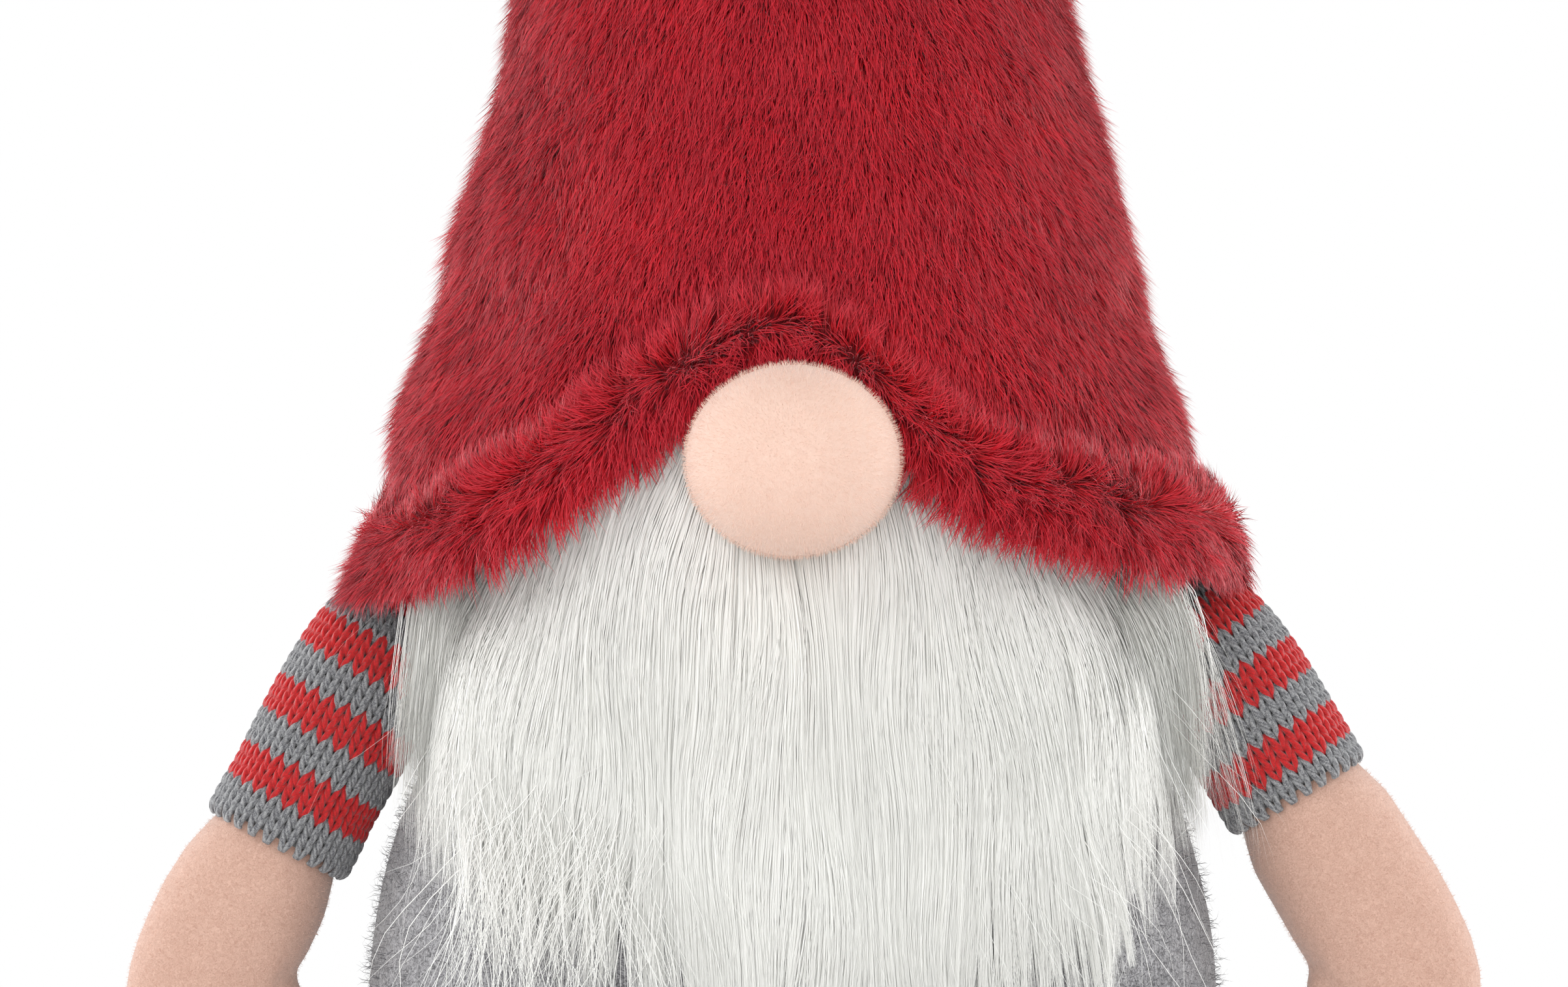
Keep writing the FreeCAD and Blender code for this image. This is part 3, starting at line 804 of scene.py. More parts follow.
def lock_middles(x, z, size, seed):
    """The middle of the lock that each root belongs to, and four numbers of the lock's own."""
    table = np.random.default_rng(seed).uniform(-1, 1, (4001, 6))
    row = np.floor(z / (size * 1.8))
    column = np.floor(x / size + 0.5 * np.mod(row, 2) + 0.35 * np.sin(z * 210 + seed))
    own = table[np.mod(row * 191 + column * 73 + 2000, 4001).astype(int)]
    middle_x = (column + 0.5 - 0.5 * np.mod(row, 2) - 0.35 * np.sin(z * 210 + seed) + 0.3 * own[:, 0]) * size
    middle_z = (row + 0.5 + 0.3 * own[:, 1]) * size * 1.8
    return middle_x, middle_z, own[:, 2:]


def combed_strands(settings, shape, count, seed):
    """Points of every strand of the beard: an array of strands by steps by 3."""
    rng = np.random.default_rng(seed)
    steps = 10
    x = rng.uniform(-0.084, 0.084, count * 4)
    x = np.sign(x) * 0.084 * (np.abs(x) / 0.084) ** 0.85
    z = rng.uniform(0.112, 0.222, count * 4)
    length = settings.length * (1 - 0.2 * (np.abs(x) / 0.09) ** 2)
    lowest = np.maximum(tip_height(x * 1.12) + length * rng.uniform(0.8, 0.98, len(x)), 0.112)
    keep = (z > lowest) & (z < np.maximum(brim_front(x) + 0.004, lowest + 0.012))
    x, z, length = x[keep][:count], z[keep][:count], length[keep][:count]
    count = len(x)
    edge = np.clip((np.abs(x) - 0.03) / 0.05, 0, 1)

    def strand(root_x, root_z, own, loose):
        amount = loose * (0.07 + 0.32 * edge) * own[:, 0]
        sway = (amount, 45 + 20 * own[:, 1], 2 * own[:, 2])
        stretch = length * (1 + 0.08 * own[:, 3])
        return hang(root_x, root_z, stretch, beard_lean(root_x, root_z), 0.034, sway, steps)

    small_x, small_z, small_own = lock_middles(x, z, 0.0035, 4)
    big_x, big_z, big_own = lock_middles(x, z, 0.011, 9)
    own = rng.uniform(-1, 1, (count, 4))
    paths = [np.stack(strand(*root), -1) for root in (
        (x, z, own, 0.5), (small_x, small_z, small_own, 1.0), (big_x, big_z, big_own, 1.3))]
    along = np.linspace(0, 1, steps)[None, :, None]
    to_big = (0.45 + 0.35 * big_own[:, 1])[:, None, None] * along ** 1.6
    to_small = (0.7 + 0.25 * small_own[:, 1])[:, None, None] * along ** 1.2
    lock = paths[1] + (paths[2] - paths[1]) * to_big
    path = paths[0] + (lock - paths[0]) * to_small
    x, z = hold_in(path[..., 0], own[:, 3:4]), path[..., 1]
    deep = rng.uniform(0.8, 1.06, count)[:, None]
    lift = smooth_step(along[..., 0] * length[:, None] / 0.01)
    stand = 0.0022 + pile_thickness(x, z, settings.thickness) * deep * lift
    free_end = 0.0035 * rng.uniform(0, 1, count)[:, None] * along[..., 0] ** 2
    tint = np.clip(0.5 + 0.3 * small_own[:, 2] + 0.2 * own[:, 0], 0, 1)
    return onto_chest(x, z, stand + free_end, shape), tint, rng


def sleeve_lock(settings, rng, count):
    """The lock that has slipped out over the gnome's own left sleeve."""
    steps = 10
    x = rng.uniform(0.07, 0.088, count)
    z = 0.182 - (x - 0.07) * 0.5 + rng.uniform(-0.008, 0.004, count)
    lean = 0.98 - (x - 0.07) * 6 + rng.normal(0, 0.07, count)
    sway = (rng.normal(0, 0.12, count), 40.0, rng.uniform(-1, 1, count))
    length = settings.length * rng.uniform(0.62, 0.95, count)
    x, z = hang(x, z, length, lean, 0.034, sway, steps)
    y = -0.026 - rng.uniform(0, 0.005, count)[:, None] * np.linspace(0.2, 1, steps)[None, :]
    return np.stack([x, y, z], -1)


def stray_strands(settings, shape, rng, count):
    """Single strands that cross the others at odd angles."""
    steps = 10
    x = rng.uniform(-0.085, 0.085, count)
    z = np.maximum(brim_front(x) - rng.uniform(0, 0.09, count), 0.1)
    low = rng.uniform(size=count) < 0.5
    x = np.where(low, rng.uniform(-0.086, -0.03, count), x)
    z = np.where(low, rng.uniform(0.095, 0.135, count), z)
    lean = np.sign(x) * np.where(low, rng.uniform(-0.5, 0.7, count), rng.uniform(-0.3, 1.1, count))
    sway = (rng.normal(0, 0.6, count), rng.uniform(30, 90, count), rng.uniform(-2, 2, count))
    length = settings.length * rng.uniform(0.3, 0.95, count)
    x, z = hang(x, z, length, lean, 0.05, sway, steps)
    stand = settings.thickness * rng.uniform(0.6, 1.5, count)[:, None] * np.linspace(0.6, 1, steps)[None, :]
    return onto_chest(x, np.maximum(z, 0.022), np.maximum(stand, 0.004), shape)


def make_strands(name, points, half, tint, rng, material):
    """Turns combed points into flat tapered strands, as one piece."""
    count, steps = points.shape[:2]
    first = np.arange(count)[:, None] * steps + np.arange(steps - 1)[None, :]
    edges = np.stack([first, first + 1], -1).reshape(-1, 2).tolist()
    made = mesh_object(name, points.reshape(-1, 3), [], edges)
    outward = unit(points * np.array([1.0, 1.15, 0])).reshape(-1, 3)
    twist = np.repeat(rng.uniform(-0.35, 0.35, count), steps)[:, None]
    write_attribute(made, "outward", unit(outward + twist * np.cross(outward, [0, 0, 1])), "FLOAT_VECTOR")
    write_attribute(made, "half", np.repeat(half * rng.uniform(0.7, 1.2, count), steps))
    write_attribute(made, "tint", np.repeat(tint, steps))
    run_tree(made, bpy.data.node_groups["strands"], {"Material": material})
    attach(made, "torso")
    return made


class GNOME_OT_beard(bpy.types.Operator):
    """Beard cloth and its long combed pile"""
    bl_idname = "gnome.make_beard"
    bl_label = "Make beard"

    def execute(self, context):
        settings = context.scene.gnome_beard
        shape = body_shape()
        # the strands' roots take the shade colour: painted shade in the pile
        hair = hair_material("beard strands", settings.shade, settings.white, settings.white, settings.white,
                             0.03, 0.1, 0.5, 0.2, (1, 1, 1))
        count = settings.strands // 1
        points, tint, rng = combed_strands(settings, shape, count, 21)
        half = settings.width / 2
        right = points[:, 0, 0] <= 0
        pile = [make_strands("beard_pile_left", points[~right], half, tint[~right], rng, hair),
                make_strands("beard_pile_right", points[right], half, tint[right], rng, hair)]
        loose = np.concatenate([sleeve_lock(settings, rng, 420), stray_strands(settings, shape, rng, 800)])
        tint = rng.uniform(0, 1, len(loose))
        pile.append(make_strands("beard_loose_strands", loose, half * 0.7, tint, rng, hair))
        pile.append(self.make_undercoat(settings, shape))
        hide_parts("beard_pile")

        half_width = 0.068
        across = np.linspace(-half_width, half_width, 50)[None, :]
        rise = np.linspace(0, 1, 30)[:, None]
        low = 0.122 + 0.055 * (np.abs(across) / half_width) ** 2
        across, low, rise = np.broadcast_arrays(across, low, rise)
        heights = low + (0.212 - low) * rise
        backing = grid_object("beard_cloth", onto_chest(across, heights, across * 0 + 0.0013, shape),
                              closed=False)
        thick = backing.modifiers.new("thickness", "SOLIDIFY")
        thick.thickness = 0.001
        thick.offset = 1
        settle(backing)
        cloth = cloth_material("beard cloth", settings.shade, settings.white, 0.001, contrast=0.6)
        dress(backing, cloth)
        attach(backing, "torso")
        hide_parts("beard_backing")
        return {"FINISHED"}

    def make_undercoat(self, settings, shape):
        """The dense short hair under the long strands, as one soft closed skin."""
        across = np.linspace(-1, 1, 90)[None, :]
        rise = np.linspace(0, 1, 80)[:, None]
        across, rise = np.broadcast_arrays(across, rise)
        x = across * 0.083
        top = brim_front(x) + 0.004
        bottom = tip_height(x) + 0.036 + 0.01 * lumps(np.stack([x, x * 0, x * 0], -1), 0.006, 2.0)
        z = bottom + (top - bottom) * rise
        side = shape.reach(np.zeros_like(z), z)
        x = np.clip(x, -0.95 * side, 0.95 * side)
        rim = smooth_step((1 - np.abs(across)) / 0.15) * smooth_step(rise / 0.12)
        stand = 0.76 * pile_thickness(x, z, settings.thickness) * rim - 0.001 * (1 - rim)
        streaks = lumps(np.stack([x, x * 0, z * 0.12], -1), 0.0035, 6.0) * 0.0005
        points = onto_chest(x, z, stand + streaks, shape)
        coat = grid_object("beard_undercoat", points, closed=False)
        thick = coat.modifiers.new("thickness", "SOLIDIFY")
        thick.thickness = 0.001
        thick.offset = -1
        settle(coat)
        shade_smooth(coat)
        under = cloth_material("beard undercoat", settings.shade, settings.white, 0.0007,
                               stretch=(1, 1, 0.05), contrast=0.8, sheen=0.2, bump=0.5)
        dress(coat, under)
        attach(coat, "torso")
        return coat


# ---- nose ----
class GNOME_OT_nose(bpy.types.Operator):
    """Round jersey nose, stuffed"""
    bl_idname = "gnome.make_nose"
    bl_label = "Make nose"

    def execute(self, context):
        cloth = context.scene.gnome_cloth
        low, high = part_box("nose_cover")
        centre = (low + high) / 2
        half = (high - low) / 2
        turn = np.linspace(0, 2 * math.pi, 64, endpoint=False)[None, :]
        rise = np.linspace(-math.pi / 2 + 0.04, math.pi / 2 - 0.04, 40)[:, None]
        turn, rise = np.broadcast_arrays(turn, rise)
        ball = np.stack([half.x * np.cos(rise) * np.cos(turn),
                         (half.y + 2 * MM) * np.cos(rise) * np.sin(turn), half.z * np.sin(rise)], -1) * 0.965
        nose = grid_object("nose", ball + np.array(centre), capped=True)
        remesh(nose, 0.0025)
        stuff(nose, cloth.pressure, 0.0015)
        jersey = cloth_material("nose jersey", cloth.jersey_dark, cloth.jersey, 0.0007, contrast=0.6,
                                sheen=0.4, bump=0.35, depth=0.0003)
        dress(nose, jersey)
        hairs = peach_hairs("nose hairs", cloth.jersey)
        fuzz("nose_hairs", nose, hairs, "torso", cover=2.2, length=0.0017, width=0.0001,
             rise=0.7, stray=0.6)
        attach(nose, "torso")
        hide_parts("nose_cover", "nose_filling")
        return {"FINISHED"}


# ---- hat ----
HAT_TOP = 0.597
BRIM_LINE = [(-118, 163), (-94, 174), (-62, 195), (-34, 212), (-14, 222), (2, 225), (16, 219), (30, 207),
             (50, 190), (70, 180), (94, 176), (118, 170)]
BRIM_BACK = 0.168
BRIM_FLARE = 0.3
SKIRT_FOOT = 0.1825
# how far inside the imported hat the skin, the cuff's roll and the lining lie, to leave room for fur
SKIN_INSET = 0.0052
CUFF_INSET = 0.0055
LINING_INSET = 0.0105
JOINT_GAP = 0.014


def brim_height(angle):
    """Height of the hat's cloth edge: an arch over the nose in front, level behind."""
    front = rounded_line(0.118 * np.cos(angle), BRIM_LINE)
    return np.where(np.sin(angle) < 0, front, BRIM_BACK)


def cuff_band(angle):
    """Width of the turned-up cuff: narrower over the nose."""
    over_nose = np.exp(-(0.118 * np.cos(angle) / 0.03) ** 2) * (np.sin(angle) < 0)
    return 0.023 - 0.008 * over_nose


def hat_reach(shape, angles, heights):
    """Reach of the hat's skin, straight across the gaps between its packed sections."""
    reach = shape.reach(angles, heights)
    for name in ("hat_lean", "hat_flop"):
        middle = joint_place(name)[2]
        low, high = (shape.reach(angles, np.full_like(heights, middle + end))
                     for end in (-JOINT_GAP, JOINT_GAP))
        share = (heights - middle + JOINT_GAP) / (2 * JOINT_GAP)
        reach = np.where(np.abs(heights - middle) < JOINT_GAP, low + (high - low) * share, reach)
    return reach


def skirt_reach(shape, angles, heights):
    """Reach of the hat's skin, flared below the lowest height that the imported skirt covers."""
    known = np.maximum(heights, SKIRT_FOOT)
    return hat_reach(shape, angles, known) + BRIM_FLARE * (known - heights)


def hat_points(shape, angles, shares, inset):
    """Points of the hat's skin: shares run from the brim, 0, to the tip, 1."""
    angles, shares = np.broadcast_arrays(angles, shares)
    edge = brim_height(angles)
    heights = edge + (HAT_TOP - edge) * shares
    reach = skirt_reach(shape, angles, heights)
    above_cuff = (heights - edge - cuff_band(angles)) / 0.009
    valley = 0.0035 * np.exp(-above_cuff ** 2)
    inset = inset * np.clip(reach / 0.024, 0.15, 1)
    reach = np.maximum(reach - inset - valley, 0.0012)
    points = around(reach, angles, heights)
    soft = np.clip(reach / 0.04, 0, 1)
    wobble = (lumps(points, 0.055, 31.0) * 2.4 + lumps(points, 0.022, 55.0) * 0.8) * MM * soft
    return around(reach + wobble, angles, heights)


def comb(points, closed):
    """Unit directions along the rows (down the hat) and outward at each grid point."""
    down = unit(-np.gradient(points, axis=0))
    if closed:
        wrapped = np.concatenate([points[:, -1:], points, points[:, :1]], axis=1)
        across = unit(np.gradient(wrapped, axis=1)[:, 1:-1])
    else:
        across = unit(np.gradient(points, axis=1))
    return down, unit(np.cross(across, -down))


def fur_patch(name, points, values, lay, settings_values, material, closed=False):
    """Grows fur on a piece of skin and keeps only the fur."""
    patch = grid_object(name, points, closed=closed)
    write_attribute(patch, "lay", lay.reshape(-1, 3), "FLOAT_VECTOR")
    for key in ("rise", "long", "cover"):
        write_attribute(patch, key, np.broadcast_to(values[key], points.shape[:2]).ravel())
    run_tree(patch, bpy.data.node_groups["pile"], {**settings_values, "Material": material})
    return patch


class GNOME_OT_hat(bpy.types.Operator):
    """Tall hat: its skin, its fur and the turned-up cuff"""
    bl_idname = "gnome.make_hat"
    bl_label = "Make hat"

    def execute(self, context):
        settings = context.scene.gnome_hat
        shape = OvalShape(["hat_back_panel", "hat_middle_back_panel", "hat_tip_back_panel",
                           "hat_middle_filling", "hat_tip_filling"], SKIRT_FOOT, 0.5975, rows=180)
        # the red fur's dark roots are painted shade and its pink tips a painted sheen
        fur = hair_material("red fur", settings.deep, settings.red, settings.sheen_tips, settings.bright,
                            0.035, 0.5, 0.5, 0.35, (1.0, 0.62, 0.68))
        # the skin under the fur is a darker copy of the roots' red: painted shade that fills the gaps between
        # the strands
        painted_shade_skin = cloth_material("fur backing", tuple(0.5 * part for part in settings.deep), settings.deep,
                                  0.0015, contrast=1.0)
        columns = 144
        rows = 170
        angles = (np.arange(columns) / columns * 2 * math.pi)[None, :]
        shares = np.linspace(0, 1, rows)[:, None] ** 0.94
        points = hat_points(shape, angles, shares, SKIN_INSET)
        split = int(np.argmin(np.abs(points[:, 0, 2] - 0.4)))

        lower = grid_object("hat_skin_lower", points[:split + 1])
        upper = grid_object("hat_skin_upper", points[split:])
        for skin in (lower, upper):
            thick = skin.modifiers.new("thickness", "SOLIDIFY")
            thick.thickness = 0.0015
            thick.offset = -1
            settle(skin)
            shade_smooth(skin)
            dress(skin, painted_shade_skin)
        bend_lower(lower)
        bend_upper(upper)
        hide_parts("hat_front_panel", "hat_back_panel", "hat_filling")
        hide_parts("hat_middle_front_panel", "hat_middle_back_panel", "hat_middle_filling",
                    "hat_tip_front_panel", "hat_tip_back_panel", "hat_tip_filling")

        down, outward = comb(points, True)
        swirl = lumps(points, 0.045, 71.0)[..., None] * np.cross(outward, down) * 0.3
        lay = unit(down + swirl)
        rise = np.clip(0.36 + 0.1 * lumps(points, 0.03, 12.0) + 0.1 * lumps(points, 0.009, 7.0), 0.12, 0.7)
        long = 1.0 + 0.12 * lumps(points, 0.02, 44.0)
        long = long * np.clip(np.hypot(points[..., 0], points[..., 1]) / 0.016, 0.55, 1)
        share = 1.0
        blades = {"Cover": settings.cover * 1e6 * share, "Length": settings.pile,
                  "Width": settings.width / share, "Tuft Size": 0.0036, "Tuft Pull": 0.12, "Stray": 0.2,
                  "Bow": 0.12, "Segments": 2}
        coarse = {**blades, "Width": settings.width * 1.45 / share}
        dense_top = int(np.argmin(np.abs(points[:, 0, 2] - 0.33)))

        def grow(name, row_range, column_range, cover, size):
            picked = np.ix_(np.arange(*row_range), np.arange(column_range[0], column_range[1] + 1) % columns)
            values = {"rise": rise[picked], "long": long[picked], "cover": cover}
            return fur_patch(name, points[picked], values, lay[picked],
                             {**size, "Seed": len(name) + row_range[0]}, fur)

        low_rows, middle_rows, top_rows = (0, dense_top + 1), (dense_top, split + 1), (split, rows)
        for number in range(4):
            start = 72 + 18 * number
            bend_lower(grow("hat_fur_front_%d" % (number + 1), low_rows, (start, start + 18), 1.0, blades))
        for number in range(2):
            bend_lower(grow("hat_fur_back_%d" % (number + 1), low_rows, (36 * number, 36 * number + 36), 0.45,
                            coarse))
        bend_lower(grow("hat_fur_middle", middle_rows, (0, columns), 0.55, coarse))
        bend_upper(grow("hat_fur_top", top_rows, (0, columns), 0.55, coarse))
        self.make_lining(context.scene.gnome_cloth, shape)
        self.make_cuff(settings, shape, fur, painted_shade_skin, blades)
        return {"FINISHED"}

    def make_lining(self, cloth, shape):
        """Plain red cloth that runs up inside the skirt and across to the body."""
        body = body_shape()
        turn = np.linspace(0, 2 * math.pi, 97)[None, :]
        share = np.linspace(0, 1, 26)[:, None]
        turn, share = np.broadcast_arrays(turn, share)
        climb = np.clip(share / 0.6, 0, 1)
        cross = smooth_step((share - 0.6) / 0.4)
        top = np.maximum(brim_height(turn) + 0.012, 0.222)
        heights = brim_height(turn) + 0.003 + (top - brim_height(turn) - 0.003) * climb
        outer = skirt_reach(shape, turn, heights) - LINING_INSET
        inner = body.reach(turn, heights) - 0.001
        points = around(outer + (inner - outer) * cross, turn, heights - 0.006 * np.sin(math.pi * cross))
        lining = grid_object("hat_lining_cloth", points[::-1], closed=False)
        thick = lining.modifiers.new("thickness", "SOLIDIFY")
        thick.thickness = 0.0008
        thick.offset = 0
        settle(lining)
        shade_smooth(lining)
        cotton = cloth_material("lining cotton", from_screen(92, 14, 22), from_screen(132, 26, 36), 0.0006)
        dress(lining, cotton)
        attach(lining, "torso")
        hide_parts("hat_lining")

    def make_cuff(self, settings, shape, fur, painted_shade_skin, blades):
        """The turned-up edge: a soft roll whose fur hangs below the brim and stands up above it."""
        columns, rows = 144, 15
        angles = (np.arange(columns) / columns * 2 * math.pi)[None, :]
        turn = np.linspace(0, 1, rows)[:, None]
        angles, turn = np.broadcast_arrays(angles, turn)
        heights = brim_height(angles) + 0.001 + (cuff_band(angles) - 0.001) * turn
        reach = skirt_reach(shape, angles, heights) - CUFF_INSET
        ends = smooth_step((np.abs(np.cos(angles)) - 0.78) / 0.2) * (np.sin(angles) < 0.3)
        reach = reach + ends * np.where(np.cos(angles) < 0, -0.0005, 0.004)
        points = around(reach + 0.0036 * (1 - 0.75 * ends) * np.sin(math.pi * turn) ** 0.6, angles, heights)
        points = points + lumps(points, 0.02, 15.0)[..., None] * 0.0014
        cuff = grid_object("hat_cuff_roll", points)
        # the roll's skin carries the same painted shade as the hat's skin
        dress(cuff, painted_shade_skin)
        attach(cuff, "torso")
        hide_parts("hat_brim_cuff")
        down, outward = comb(points, True)
        sideways = np.cross(outward, down)
        flow = np.clip(1.15 - 1.9 * turn + 0.2 * lumps(points, 0.013, 8.0), -1, 1)[..., None]
        lay = unit(down * flow + 0.35 * lumps(points, 0.014, 3.0)[..., None] * sideways)
        rise = np.clip(0.36 + 0.2 * np.sin(math.pi * turn) + 0.12 * lumps(points, 0.01, 21.0), 0.1, 0.8)
        rise = rise * (1 - 0.45 * ends)
        long = (1.0 - 0.3 * turn + 0.2 * lumps(points, 0.012, 33.0)) * (1 - 0.25 * ends)
        for number in range(4):
            start = 36 * number
            picked = np.arange(start, start + 37) % columns
            front = number >= 2
            values = {"rise": rise[:, picked], "long": long[:, picked], "cover": 1.15 if front else 0.6}
            piece = fur_patch("cuff_fur_%d" % (number + 1), points[:, picked], values, lay[:, picked],
                              {**blades, "Length": settings.cuff_pile, "Tuft Size": 0.006, "Tuft Pull": 0.42,
                               "Stray": 0.26, "Segments": 3, "Seed": 20 + number}, fur)
            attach(piece, "torso")


def joint_place(name):
    return next(joint["pos_m"] for joint in frame["joints"] if joint["name"] == name)


def bend_lower(piece):
    """Bakes a lower hat piece's placement into its mesh; it is not bent at the lean joint."""
    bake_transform(piece)


def bend_upper(piece):
    """Bakes an upper hat piece's placement into its mesh; it is not bent at the flop joint."""
    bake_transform(piece)


# ---- arms ----
ARM_TOP = (95.3, 170.1)
SPLAY = {"left": 31, "right": 28}


class ArmFrame:
    """The line that a packed arm hangs along, and directions across it."""

    def __init__(self, side):
        self.side = side
        self.sign = 1 if side == "left" else -1
        places = cad_triangles(side + "_sleeve")[0]
        splay = math.radians(SPLAY[side])
        self.axis = np.array([self.sign * math.sin(splay), 0, -math.cos(splay)])
        self.top = np.array([self.sign * ARM_TOP[0], 0, ARM_TOP[1]]) * MM
        self.front = np.array([0, -1.0, 0])
        self.out = np.cross(self.axis, self.front)
        if self.out[0] * self.sign < 0:
            self.out = -self.out
        away = places - self.top
        along = away @ self.axis
        self.length = along.max()
        across = np.linalg.norm(away - along[:, None] * self.axis, axis=1)
        self.marks = np.linspace(0, self.length, 40)
        self.radii = [across[np.abs(along - mark) < 0.0025].max() for mark in self.marks]

    def point(self, along, angle, reach, reach_front=None):
        """Place at a distance along the arm, turned by angle from its outer side towards its front."""
        deep = reach if reach_front is None else reach_front
        return (self.top + along[..., None] * self.axis + (reach * np.cos(angle))[..., None] * self.out
                + (deep * np.sin(angle))[..., None] * self.front)


# the wrist is placed from the sleeve's hem and the palm from the top of the arm
WRIST_SECTIONS = [(-14, 15.5, 15.5), (-3, 15.8, 15.5), (4, 17.9, 16.3), (12, 20.1, 16.1)]
PALM_SECTIONS = [(100, 21.1, 14.9), (110, 20.7, 13.7), (119, 19.7, 12.5), (127, 17.7, 11.1), (133, 14.7, 9.3),
                 (138, 10.8, 7), (140, 6.8, 4.6), (141.2, 2.5, 1.8)]
THUMB = ((101, 9), (112, 19), 6)


class GNOME_OT_arms(bpy.types.Operator):
    """Knitted sleeves and jersey mitts"""
    bl_idname = "gnome.make_arms"
    bl_label = "Make arms"

    def execute(self, context):
        knit = context.scene.gnome_knit
        cloth = context.scene.gnome_cloth
        yarn = yarn_material("yarn", knit.red, knit.grey, knit.dark_grey)
        # the dark grey tube under the stitches is painted shade, seen through the gaps of the knit
        inside = cloth_material("sleeve backing", tuple(0.2 * part for part in knit.grey),
                                tuple(0.5 * part for part in knit.grey), 0.001)
        # the mitts' jersey and down are the nose's cloth darkened: painted shade
        jersey = cloth_material("mitt jersey", cloth.mitt_dark, cloth.mitt, 0.0008, contrast=1.0, sheen=0.4,
                                bump=0.5, depth=0.0004)
        hairs = peach_hairs("mitt hairs", cloth.mitt)
        for side in ("left", "right"):
            arm = ArmFrame(side)
            self.make_sleeve(arm, knit, yarn, inside)
            self.make_hand(arm, cloth, jersey, hairs)
        return {"FINISHED"}

    def make_sleeve(self, arm, knit, yarn, inside):
        angles = np.linspace(0, 2 * math.pi, 48, endpoint=False)[None, :]
        marks = np.linspace(0.001, arm.length - 0.0005, 40)[:, None]
        marks, angles = np.broadcast_arrays(marks, angles)
        reach = np.maximum(np.interp(marks, arm.marks, arm.radii) - 0.0022, 0.002)
        points = arm.point(marks, angles * arm.sign, reach)
        # a dark tube inside the knit: painted shade between the stitches
        tube = grid_object(arm.side + "_sleeve_lining", points[::-1], capped=True)
        dress(tube, inside)
        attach(tube, arm.side + "_arm")
        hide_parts(arm.side + "_sleeve", arm.side + "_arm_filling")

        rows = int(arm.length / knit.row)
        marks = (arm.length - knit.row * (np.arange(rows) + 0.35))[:, None]
        angles = (np.arange(knit.wales) / knit.wales * 2 * math.pi)[None, :]
        marks, angles = np.broadcast_arrays(marks, angles)
        reach = np.interp(marks, arm.marks, arm.radii) - 0.0012
        points = arm.point(marks, angles, reach)
        outward = unit(points - arm.point(marks, angles, reach * 0))
        across = unit(np.cross(np.broadcast_to(arm.axis, outward.shape), outward))
        count = points.shape[0] * points.shape[1]
        first = 1 if arm.side == "left" else 0
        stripe = ((np.arange(rows) + first) // knit.stripe) % 2
        yarn_of = np.broadcast_to((1 - stripe)[:, None], marks.shape)
        sleeve = mesh_object(arm.side + "_knit", points.reshape(-1, 3), [])
        write_attribute(sleeve, "across", across.reshape(-1, 3), "FLOAT_VECTOR")
        write_attribute(sleeve, "outward", outward.reshape(-1, 3), "FLOAT_VECTOR")
        write_attribute(sleeve, "wide", (reach * 2 * math.pi / knit.wales).ravel())
        write_attribute(sleeve, "tall", np.full(count, knit.row))
        write_attribute(sleeve, "yarn", yarn_of.ravel())
        run_tree(sleeve, bpy.data.node_groups["stitches"], {"Thickness": 0.19, "Material": yarn})
        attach(sleeve, arm.side + "_arm")

    def make_hand(self, arm, cloth, jersey, hairs):
        angles = np.linspace(0, 2 * math.pi, 40, endpoint=False)[None, :]
        sections = np.array(WRIST_SECTIONS + PALM_SECTIONS) * MM
        sections[:len(WRIST_SECTIONS), 0] += arm.length
        marks = np.linspace(sections[0, 0], sections[-1, 0], 60)[:, None]
        marks, angles = np.broadcast_arrays(marks, angles)
        wide = np.interp(marks, sections[:, 0], sections[:, 1])
        deep = np.interp(marks, sections[:, 0], sections[:, 2])
        palm = arm.point(marks, angles * arm.sign, wide, deep)[::-1]
        thumb = self.thumb_points(arm, angles)
        places = np.concatenate([palm.reshape(-1, 3), thumb.reshape(-1, 3)])
        faces = grid_faces(*palm.shape[:2], True)
        offset = palm.shape[0] * palm.shape[1]
        faces += [[corner + offset for corner in face] for face in grid_faces(*thumb.shape[:2], True)]
        columns = palm.shape[1]
        for first, rows in ((0, palm.shape[0]), (offset, thumb.shape[0])):
            faces.append([first + j for j in range(columns)][::-1])
            faces.append([first + (rows - 1) * columns + j for j in range(columns)])
        hand = mesh_object(arm.side + "_mitt", places, faces)
        remesh(hand, 0.0022)
        stuff(hand, cloth.pressure, 0.0012)
        dress(hand, jersey)
        fuzz(arm.side + "_mitt_hairs", hand, hairs, arm.side + "_arm", cover=0.8,
             length=0.001, width=0.00009, rise=0.5, stray=0.5)
        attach(hand, arm.side + "_arm")
        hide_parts(arm.side + "_hand")

    def thumb_points(self, arm, angles):
        (root_along, root_in), (tip_along, tip_in), radius = THUMB
        root = arm.top + root_along * MM * arm.axis - root_in * MM * arm.out
        tip = arm.top + tip_along * MM * arm.axis - tip_in * MM * arm.out
        way = (tip - root) / np.linalg.norm(tip - root)
        first = np.cross(way, arm.front)
        turn = np.linspace(-math.pi / 2 + 0.1, math.pi / 2 - 0.1, 14)[:, None]
        angle = angles[:1]
        turn, angle = np.broadcast_arrays(turn, angle)
        centre = np.where(turn[..., None] < 0, root, tip)
        reach = radius * MM * np.cos(turn)
        return (centre + way * (radius * MM * np.sin(turn))[..., None]
                + (reach * np.cos(angle))[..., None] * first + (reach * np.sin(angle))[..., None] * arm.front)


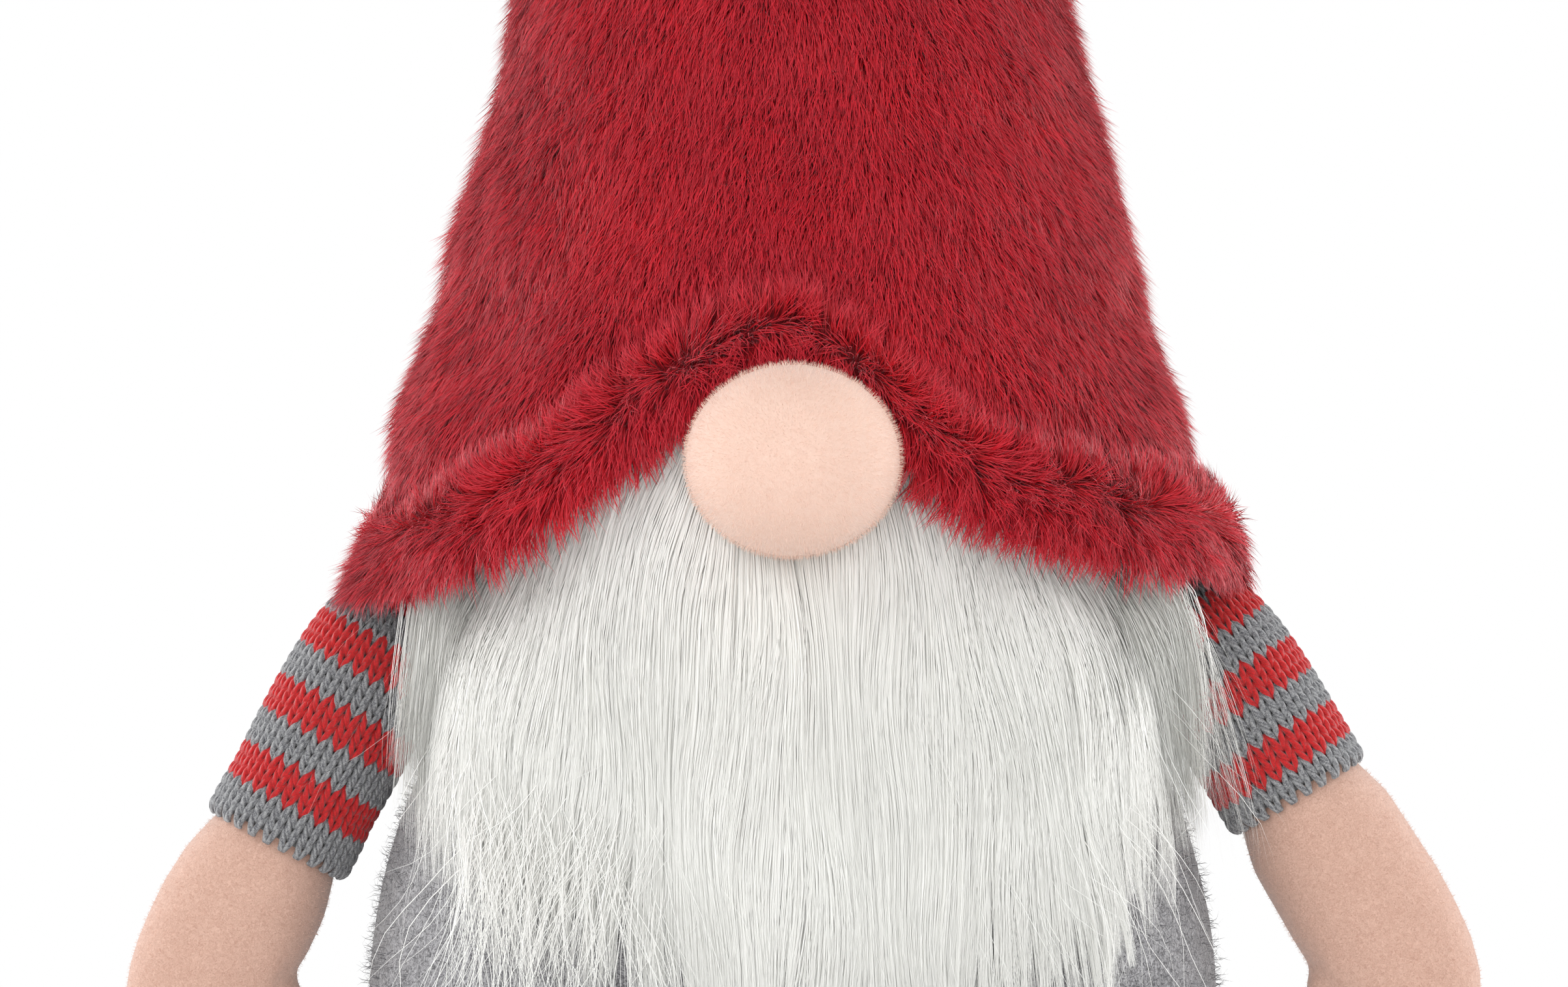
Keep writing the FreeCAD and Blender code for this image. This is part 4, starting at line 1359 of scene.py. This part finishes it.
# ---- small and hidden pieces ----
class GNOME_OT_inner(bpy.types.Operator):
    """Finishes of the board, sand bag, wires and thread"""
    bl_idname = "gnome.finish_inner"
    bl_label = "Finish inner pieces"

    def execute(self, context):
        board = cloth_material("card board", from_screen(150, 120, 90), from_screen(186, 156, 122), 0.002,
                               stretch=(1, 1, 6), rough=0.85, sheen=0.0)
        bag = cloth_material("calico", from_screen(190, 176, 150), from_screen(222, 210, 188), 0.0008)
        thread = cloth_material("thread", from_screen(214, 186, 166), from_screen(240, 220, 204), 0.0004)
        wire, wires, shader = new_material("steel wire")
        nap = group(wires, "fibres", {"Size": 0.0005, "Stretch": (1, 1, 0.1), "Contrast": 0.5})
        set_shader(wires, shader, {"Base Color": wires.colour_mix(nap.outputs["Value"], (0.4, 0.4, 0.42, 1),
                                                                  (0.62, 0.62, 0.63, 1)),
                                   "Metallic": 1.0, "Roughness": 0.35})
        finishes = {"base_board": board, "weight_bag": bag, "nose_gather": thread, "hat_wire_lower": wire,
                    "hat_wire_middle": wire, "hat_wire_tip": wire, "left_shoulder_knot": thread,
                    "right_shoulder_knot": thread}
        for node, material in finishes.items():
            mesh = frame["nodes"][node].data
            mesh.materials.clear()
            mesh.materials.append(material)
        return {"FINISHED"}


# ---- stage ----
def soft_light(name, place, target, size, power, colour=(1, 1, 1)):
    data = bpy.data.lights.new(name, "AREA")
    data.shape = "DISK"
    data.size = size
    data.energy = power
    data.color = colour
    lamp = bpy.data.objects.new(name, data)
    lamp.location = place
    lamp.rotation_euler = (Vector(target) - Vector(place)).to_track_quat("-Z", "Y").to_euler()
    bpy.context.scene.collection.objects.link(lamp)


class GNOME_OT_stage(bpy.types.Operator):
    """Floor, lights, background and camera"""
    bl_idname = "gnome.make_stage"
    bl_label = "Make stage"

    def execute(self, context):
        scene = context.scene
        stage = scene.gnome_stage
        ring = np.linspace(0, 2 * math.pi, 96, endpoint=False)
        rim = np.stack([0.62 * np.cos(ring), 0.62 * np.sin(ring), ring * 0 - 0.0004], -1)
        floor = mesh_object("floor", rim, [list(range(96))])
        paper, wires, shader = new_material("floor paper")
        nap = group(wires, "fibres", {"Size": 0.004, "Stretch": (1, 1, 1), "Contrast": 0.3})
        dim = tuple(0.97 * part for part in stage.floor)
        set_shader(wires, shader, {"Base Color": wires.colour_mix(nap.outputs["Value"], rgba(dim),
                                                                  rgba(stage.floor)), "Roughness": 0.9})
        floor.data.materials.append(paper)

        world = bpy.data.worlds.new("white room")
        scene.world = world
        world.use_nodes = True
        sky = Wiring(world.node_tree)
        background = world.node_tree.nodes["Background"]
        seen = sky.add("ShaderNodeLightPath").outputs["Is Camera Ray"]
        sky.join((1, 1, 1, 1), background.inputs["Color"])
        sky.join(sky.band(seen, 0.0, 1.0, stage.daylight, 1.0), background.inputs["Strength"])
        middle = (0, 0, 0.2)
        soft_light("front", (-0.25, -1.7, 0.35), middle, 1.2, 11)
        soft_light("key", (-1.0, -1.0, 1.1), middle, 0.8, 6)
        soft_light("fill", (1.2, -0.9, 0.8), middle, 0.9, 5)
        soft_light("top", (0.0, 0.3, 1.6), middle, 0.8, 3)
        soft_light("back left", (-1.2, 0.5, 0.4), middle, 0.7, 10)
        soft_light("back right", (1.2, 0.5, 0.4), middle, 0.7, 10)

        data = bpy.data.cameras.new("camera")
        data.lens = stage.focal
        data.sensor_width = 36
        distance = stage.view_width * data.lens / data.sensor_width
        camera = bpy.data.objects.new("camera", data)
        camera.location = (-0.0022, -distance, stage.view_height)
        camera.rotation_euler = (math.pi / 2, 0, 0)
        scene.collection.objects.link(camera)
        scene.camera = camera
        scene.view_settings.view_transform = "Standard"
        return {"FINISHED"}


# ---- panel and registration ----
OPERATORS = (GNOME_OT_stage, GNOME_OT_body, GNOME_OT_beard, GNOME_OT_nose, GNOME_OT_hat, GNOME_OT_arms,
             GNOME_OT_inner)
SETTINGS = {"gnome_hat": GnomeHatSettings, "gnome_beard": GnomeBeardSettings,
            "gnome_cloth": GnomeClothSettings, "gnome_knit": GnomeKnitSettings,
            "gnome_stage": GnomeStageSettings}


class GNOME_PT_panel(bpy.types.Panel):
    """Lists the steps that make the gnome, and its sizes and colours"""
    bl_idname = "GNOME_PT_panel"
    bl_label = "Gnome"
    bl_space_type = "VIEW_3D"
    bl_region_type = "UI"
    bl_category = "Gnome"

    def draw(self, context):
        for operator in OPERATORS:
            self.layout.operator(operator.bl_idname)
        for name in SETTINGS:
            box = self.layout.box()
            for key in SETTINGS[name].__annotations__:
                box.prop(getattr(context.scene, name), key)


def register():
    for kind in SETTINGS.values():
        bpy.utils.register_class(kind)
    for name, kind in SETTINGS.items():
        setattr(bpy.types.Scene, name, PointerProperty(type=kind))
    for kind in (*OPERATORS, GNOME_PT_panel):
        bpy.utils.register_class(kind)


def unregister():
    for kind in (GNOME_PT_panel, *reversed(OPERATORS)):
        bpy.utils.unregister_class(kind)
    for name in SETTINGS:
        delattr(bpy.types.Scene, name)
    for kind in reversed(list(SETTINGS.values())):
        bpy.utils.unregister_class(kind)


def main():
    register()
    for build in (pile_tree, strand_tree, stitch_tree, fibres_group, strand_colour_group):
        build()
    for operator in OPERATORS:
        getattr(bpy.ops.gnome, operator.bl_idname.split(".")[1])()


if __name__ == "__main__":
    main()
